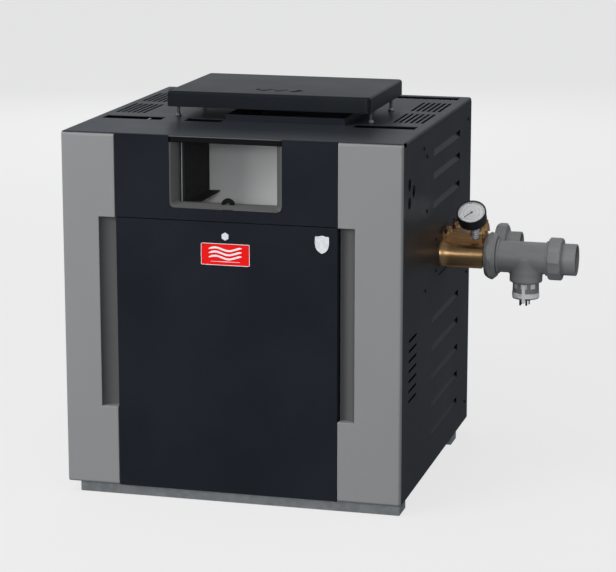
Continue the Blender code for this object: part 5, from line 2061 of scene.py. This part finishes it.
class HEATER_OT_electrics(HeaterOperator, bpy.types.Operator):
    """Junction box, transformer and control board with its parts"""

    bl_idname = "heater.electrics"
    bl_label = "Electrics"

    def build(self, scene):
        softened("junction_box", "galvanised_steel", width=0.6 * MM)
        low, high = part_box("transformer")
        # Stamped laminations, 1 mm apart, round one wound coil.
        shape = bmesh.new()
        block(shape, (low.x + 12 * MM, low.y + 6 * MM, low.z), (low.x + 12.7 * MM, high.y - 6 * MM,
                                                               high.z))
        made = grown(
            "row",
            plain_mesh("transformer_laminations", shape),
            "transformer_laminations",
            Count=30,
            Step=(1.0 * MM, 0.0, 0.0),
            Material=MATERIALS["cast_iron"],
        )
        settle(made, "cast_iron", stands_for=("transformer",))
        shape = bmesh.new()
        points = rounded_rectangle(low.x, high.x, low.y, high.y, [8 * MM] * 4)
        prism(shape, points, lambda a, b, d: Vector((a, b, d)), low.z + 10 * MM, high.z - 10 * MM)
        piece("transformer_coil", shape, "rubber", angle=40)
        softened("control_board", "circuit_board", width=0.2 * MM)
        low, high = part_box("control_board")
        shape = bmesh.new()
        for y, z, wide, tall, deep in (
            (14, 14, 18, 22, 5), (38, 20, 20, 16, 4.5), (66, 12, 12, 14, 3.5),
            (90, 22, 24, 12, 4.5), (20, 52, 26, 14, 3.0), (58, 54, 22, 18, 4.0),
            (94, 56, 16, 16, 5.0),
        ):
            block(
                shape,
                (low.x - deep * MM, low.y + (y - wide / 2) * MM, low.z + (z - tall / 2) * MM),
                (low.x - 0.05 * MM, low.y + (y + wide / 2) * MM, low.z + (z + tall / 2) * MM),
            )
        bmesh.ops.bevel(shape, geom=list(shape.edges), offset=0.8 * MM, segments=1,
                        affect="EDGES")
        piece("board_relays", shape, "rubber")


class HEATER_OT_screws(HeaterOperator, bpy.types.Operator):
    """Sheet-metal screws of the right side and round its cut-out, the junction box cover screws and two rivets on
    the door edge
    """

    bl_idname = "heater.screws"
    bl_label = "Screws"

    def build(self, scene):
        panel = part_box("right_side_panel")[1].x
        places = [
            ((panel, y, z), (1, 0, 0))
            for y, z in ((-0.135, 0.645), (-0.109, 0.627), (-0.108, 0.525), (-0.114, 0.376),
                         (0.285, 0.060), (0.285, 0.330), (0.285, 0.640))
        ]
        hexagons("side_screws", places, "dark_steel", across=5.5 * MM, height=1.6 * MM,
                 washer=7.5 * MM, thick=0.5 * MM)
        cutout = [
            ((panel, y, z), (1, 0, 0))
            for y in (-0.020, 0.178)
            for z in (0.395, 0.455)
        ]
        hexagons("cut_out_screws", cutout, "dark_steel", across=5.5 * MM, height=1.6 * MM,
                 washer=7.5 * MM, thick=0.5 * MM)
        box_low, box_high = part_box("junction_box")
        cover = [
            ((box_low.x, y, z), (-1, 0, 0))
            for y in (box_low.y + 12 * MM, box_high.y - 12 * MM)
            for z in (box_low.z + 12 * MM, box_high.z - 12 * MM)
        ]
        hexagons("junction_box_screws", cover, "zinc_plate", height=2.4 * MM)
        door_low, door_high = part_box("front_door")
        dots = [((door_high.x - 4 * MM, door_low.y, z), (0, -1, 0)) for z in (0.440, 0.460)]
        hexagons("door_edge_rivets", dots, "dark_steel", body="front_door", across=2.2 * MM,
                 height=0.5 * MM, washer=3.4 * MM, thick=0.4 * MM)


class HEATER_OT_stage(HeaterOperator, bpy.types.Operator):
    """Plain pale floor, soft studio light and the camera"""

    bl_idname = "heater.stage"
    bl_label = "Stage"

    def build(self, scene):
        settings = scene.heater_stage
        shape = bmesh.new()
        bmesh.ops.create_grid(shape, x_segments=1, y_segments=1, size=FLOOR_HALF_WIDTH)
        floor = link("floor", plain_mesh("floor", shape))
        if floor.data.polygons[0].normal.z < 0:
            floor.data.flip_normals()
        floor.location.z = -FLOOR_DROP
        material = bpy.data.materials.new("painted_studio_floor")
        material.use_nodes = True
        shader = material.node_tree.nodes["Principled BSDF"]
        lit = (c * FLOOR_LIT_SHARE for c in settings.floor)
        shader.inputs["Base Color"].default_value = (*lit, 1.0)
        shader.inputs["Roughness"].default_value = 0.9
        shader.inputs["Specular IOR Level"].default_value = 0.0
        shader.inputs["Emission Color"].default_value = (*settings.floor, 1.0)
        shader.inputs["Emission Strength"].default_value = FLOOR_GLOW
        floor.data.materials.append(material)
        floor.visible_glossy = False
        floor.visible_diffuse = False

        # A soft sky: dim overhead, palest in a band low over the horizon, dark below it.
        world = bpy.data.worlds.new("studio")
        scene.world = world
        world.use_nodes = True
        tree = world.node_tree
        background = tree.nodes["Background"]
        way = node(tree, "ShaderNodeTexCoord").outputs["Generated"]
        height = node(tree, "ShaderNodeSeparateXYZ", {0: way}).outputs["Z"]
        ramp = node(tree, "ShaderNodeValToRGB", {0: node(
            tree, "ShaderNodeMapRange", {0: height, 1: -1.0, 2: 1.0, 3: 0.0, 4: 1.0}
        ).outputs[0]})
        bands = ramp.color_ramp
        bands.elements[0].position = 0.0
        bands.elements[0].color = SKY_BELOW
        bands.elements[1].position = 1.0
        bands.elements[1].color = SKY_ABOVE
        for position, level in SKY_BANDS:
            step = bands.elements.new(position)
            step.color = (*(level * share for share in SKY_TINT), 1)
        tree.links.new(ramp.outputs[0], background.inputs["Color"])
        background.inputs["Strength"].default_value = settings.sky

        for name, place, size, power, glossy in SOFTBOXES:
            light = bpy.data.lights.new(name, "AREA")
            light.size = size
            light.energy = power
            lamp = bpy.data.objects.new(name, light)
            lamp.location = place
            aim = LIGHTS_AIM - Vector(place)
            lamp.rotation_euler = aim.to_track_quat("-Z", "Y").to_euler()
            lamp.visible_glossy = glossy
            bpy.context.scene.collection.objects.link(lamp)

        camera = bpy.data.cameras.new("camera")
        camera.lens = settings.lens
        camera.sensor_width = 36.0
        camera.clip_end = CAMERA_REACH
        stand = bpy.data.objects.new("camera", camera)
        stand.location = CAMERA_PLACE
        stand.rotation_euler = tuple(math.radians(angle) for angle in CAMERA_TURN)
        bpy.context.scene.collection.objects.link(stand)
        scene.camera = stand
        scene.view_settings.view_transform = "Standard"


STEPS = (
    HEATER_OT_finish_nodes,
    HEATER_OT_cabinet_sheets,
    HEATER_OT_corner_trims,
    HEATER_OT_window,
    HEATER_OT_latch,
    HEATER_OT_badge,
    HEATER_OT_label,
    HEATER_OT_vent_cap,
    HEATER_OT_cap_legs,
    HEATER_OT_union_nuts,
    HEATER_OT_tee,
    HEATER_OT_tails,
    HEATER_OT_header,
    HEATER_OT_anode,
    HEATER_OT_gauge,
    HEATER_OT_finned_core,
    HEATER_OT_chamber,
    HEATER_OT_burners,
    HEATER_OT_gas_train,
    HEATER_OT_electrics,
    HEATER_OT_screws,
    HEATER_OT_stage,
)


class HEATER_PT_panel(bpy.types.Panel):
    """Lists the steps and the sizes and colours that they read"""

    bl_idname = "HEATER_PT_panel"
    bl_label = "Gas Pool Heater"
    bl_space_type = "VIEW_3D"
    bl_region_type = "UI"
    bl_category = "Pool Heater"

    def draw(self, context):
        for step in STEPS:
            self.layout.operator(step.bl_idname)
        for name, group in GROUPS.items():
            settings = getattr(context.scene, name)
            column = self.layout.column(align=True)
            column.label(text=group.__doc__)
            for key in group.__annotations__:
                column.prop(settings, key)


def register():
    for name, group in GROUPS.items():
        bpy.utils.register_class(group)
        setattr(bpy.types.Scene, name, bpy.props.PointerProperty(type=group))
    for made in (*STEPS, HEATER_PT_panel):
        bpy.utils.register_class(made)


def unregister():
    for made in reversed((*STEPS, HEATER_PT_panel)):
        bpy.utils.unregister_class(made)
    for name, group in GROUPS.items():
        delattr(bpy.types.Scene, name)
        bpy.utils.unregister_class(group)


def main():
    register()
    for step in STEPS:
        group, name = step.bl_idname.split(".")
        getattr(getattr(bpy.ops, group), name)()


if __name__ == "__main__":
    main()
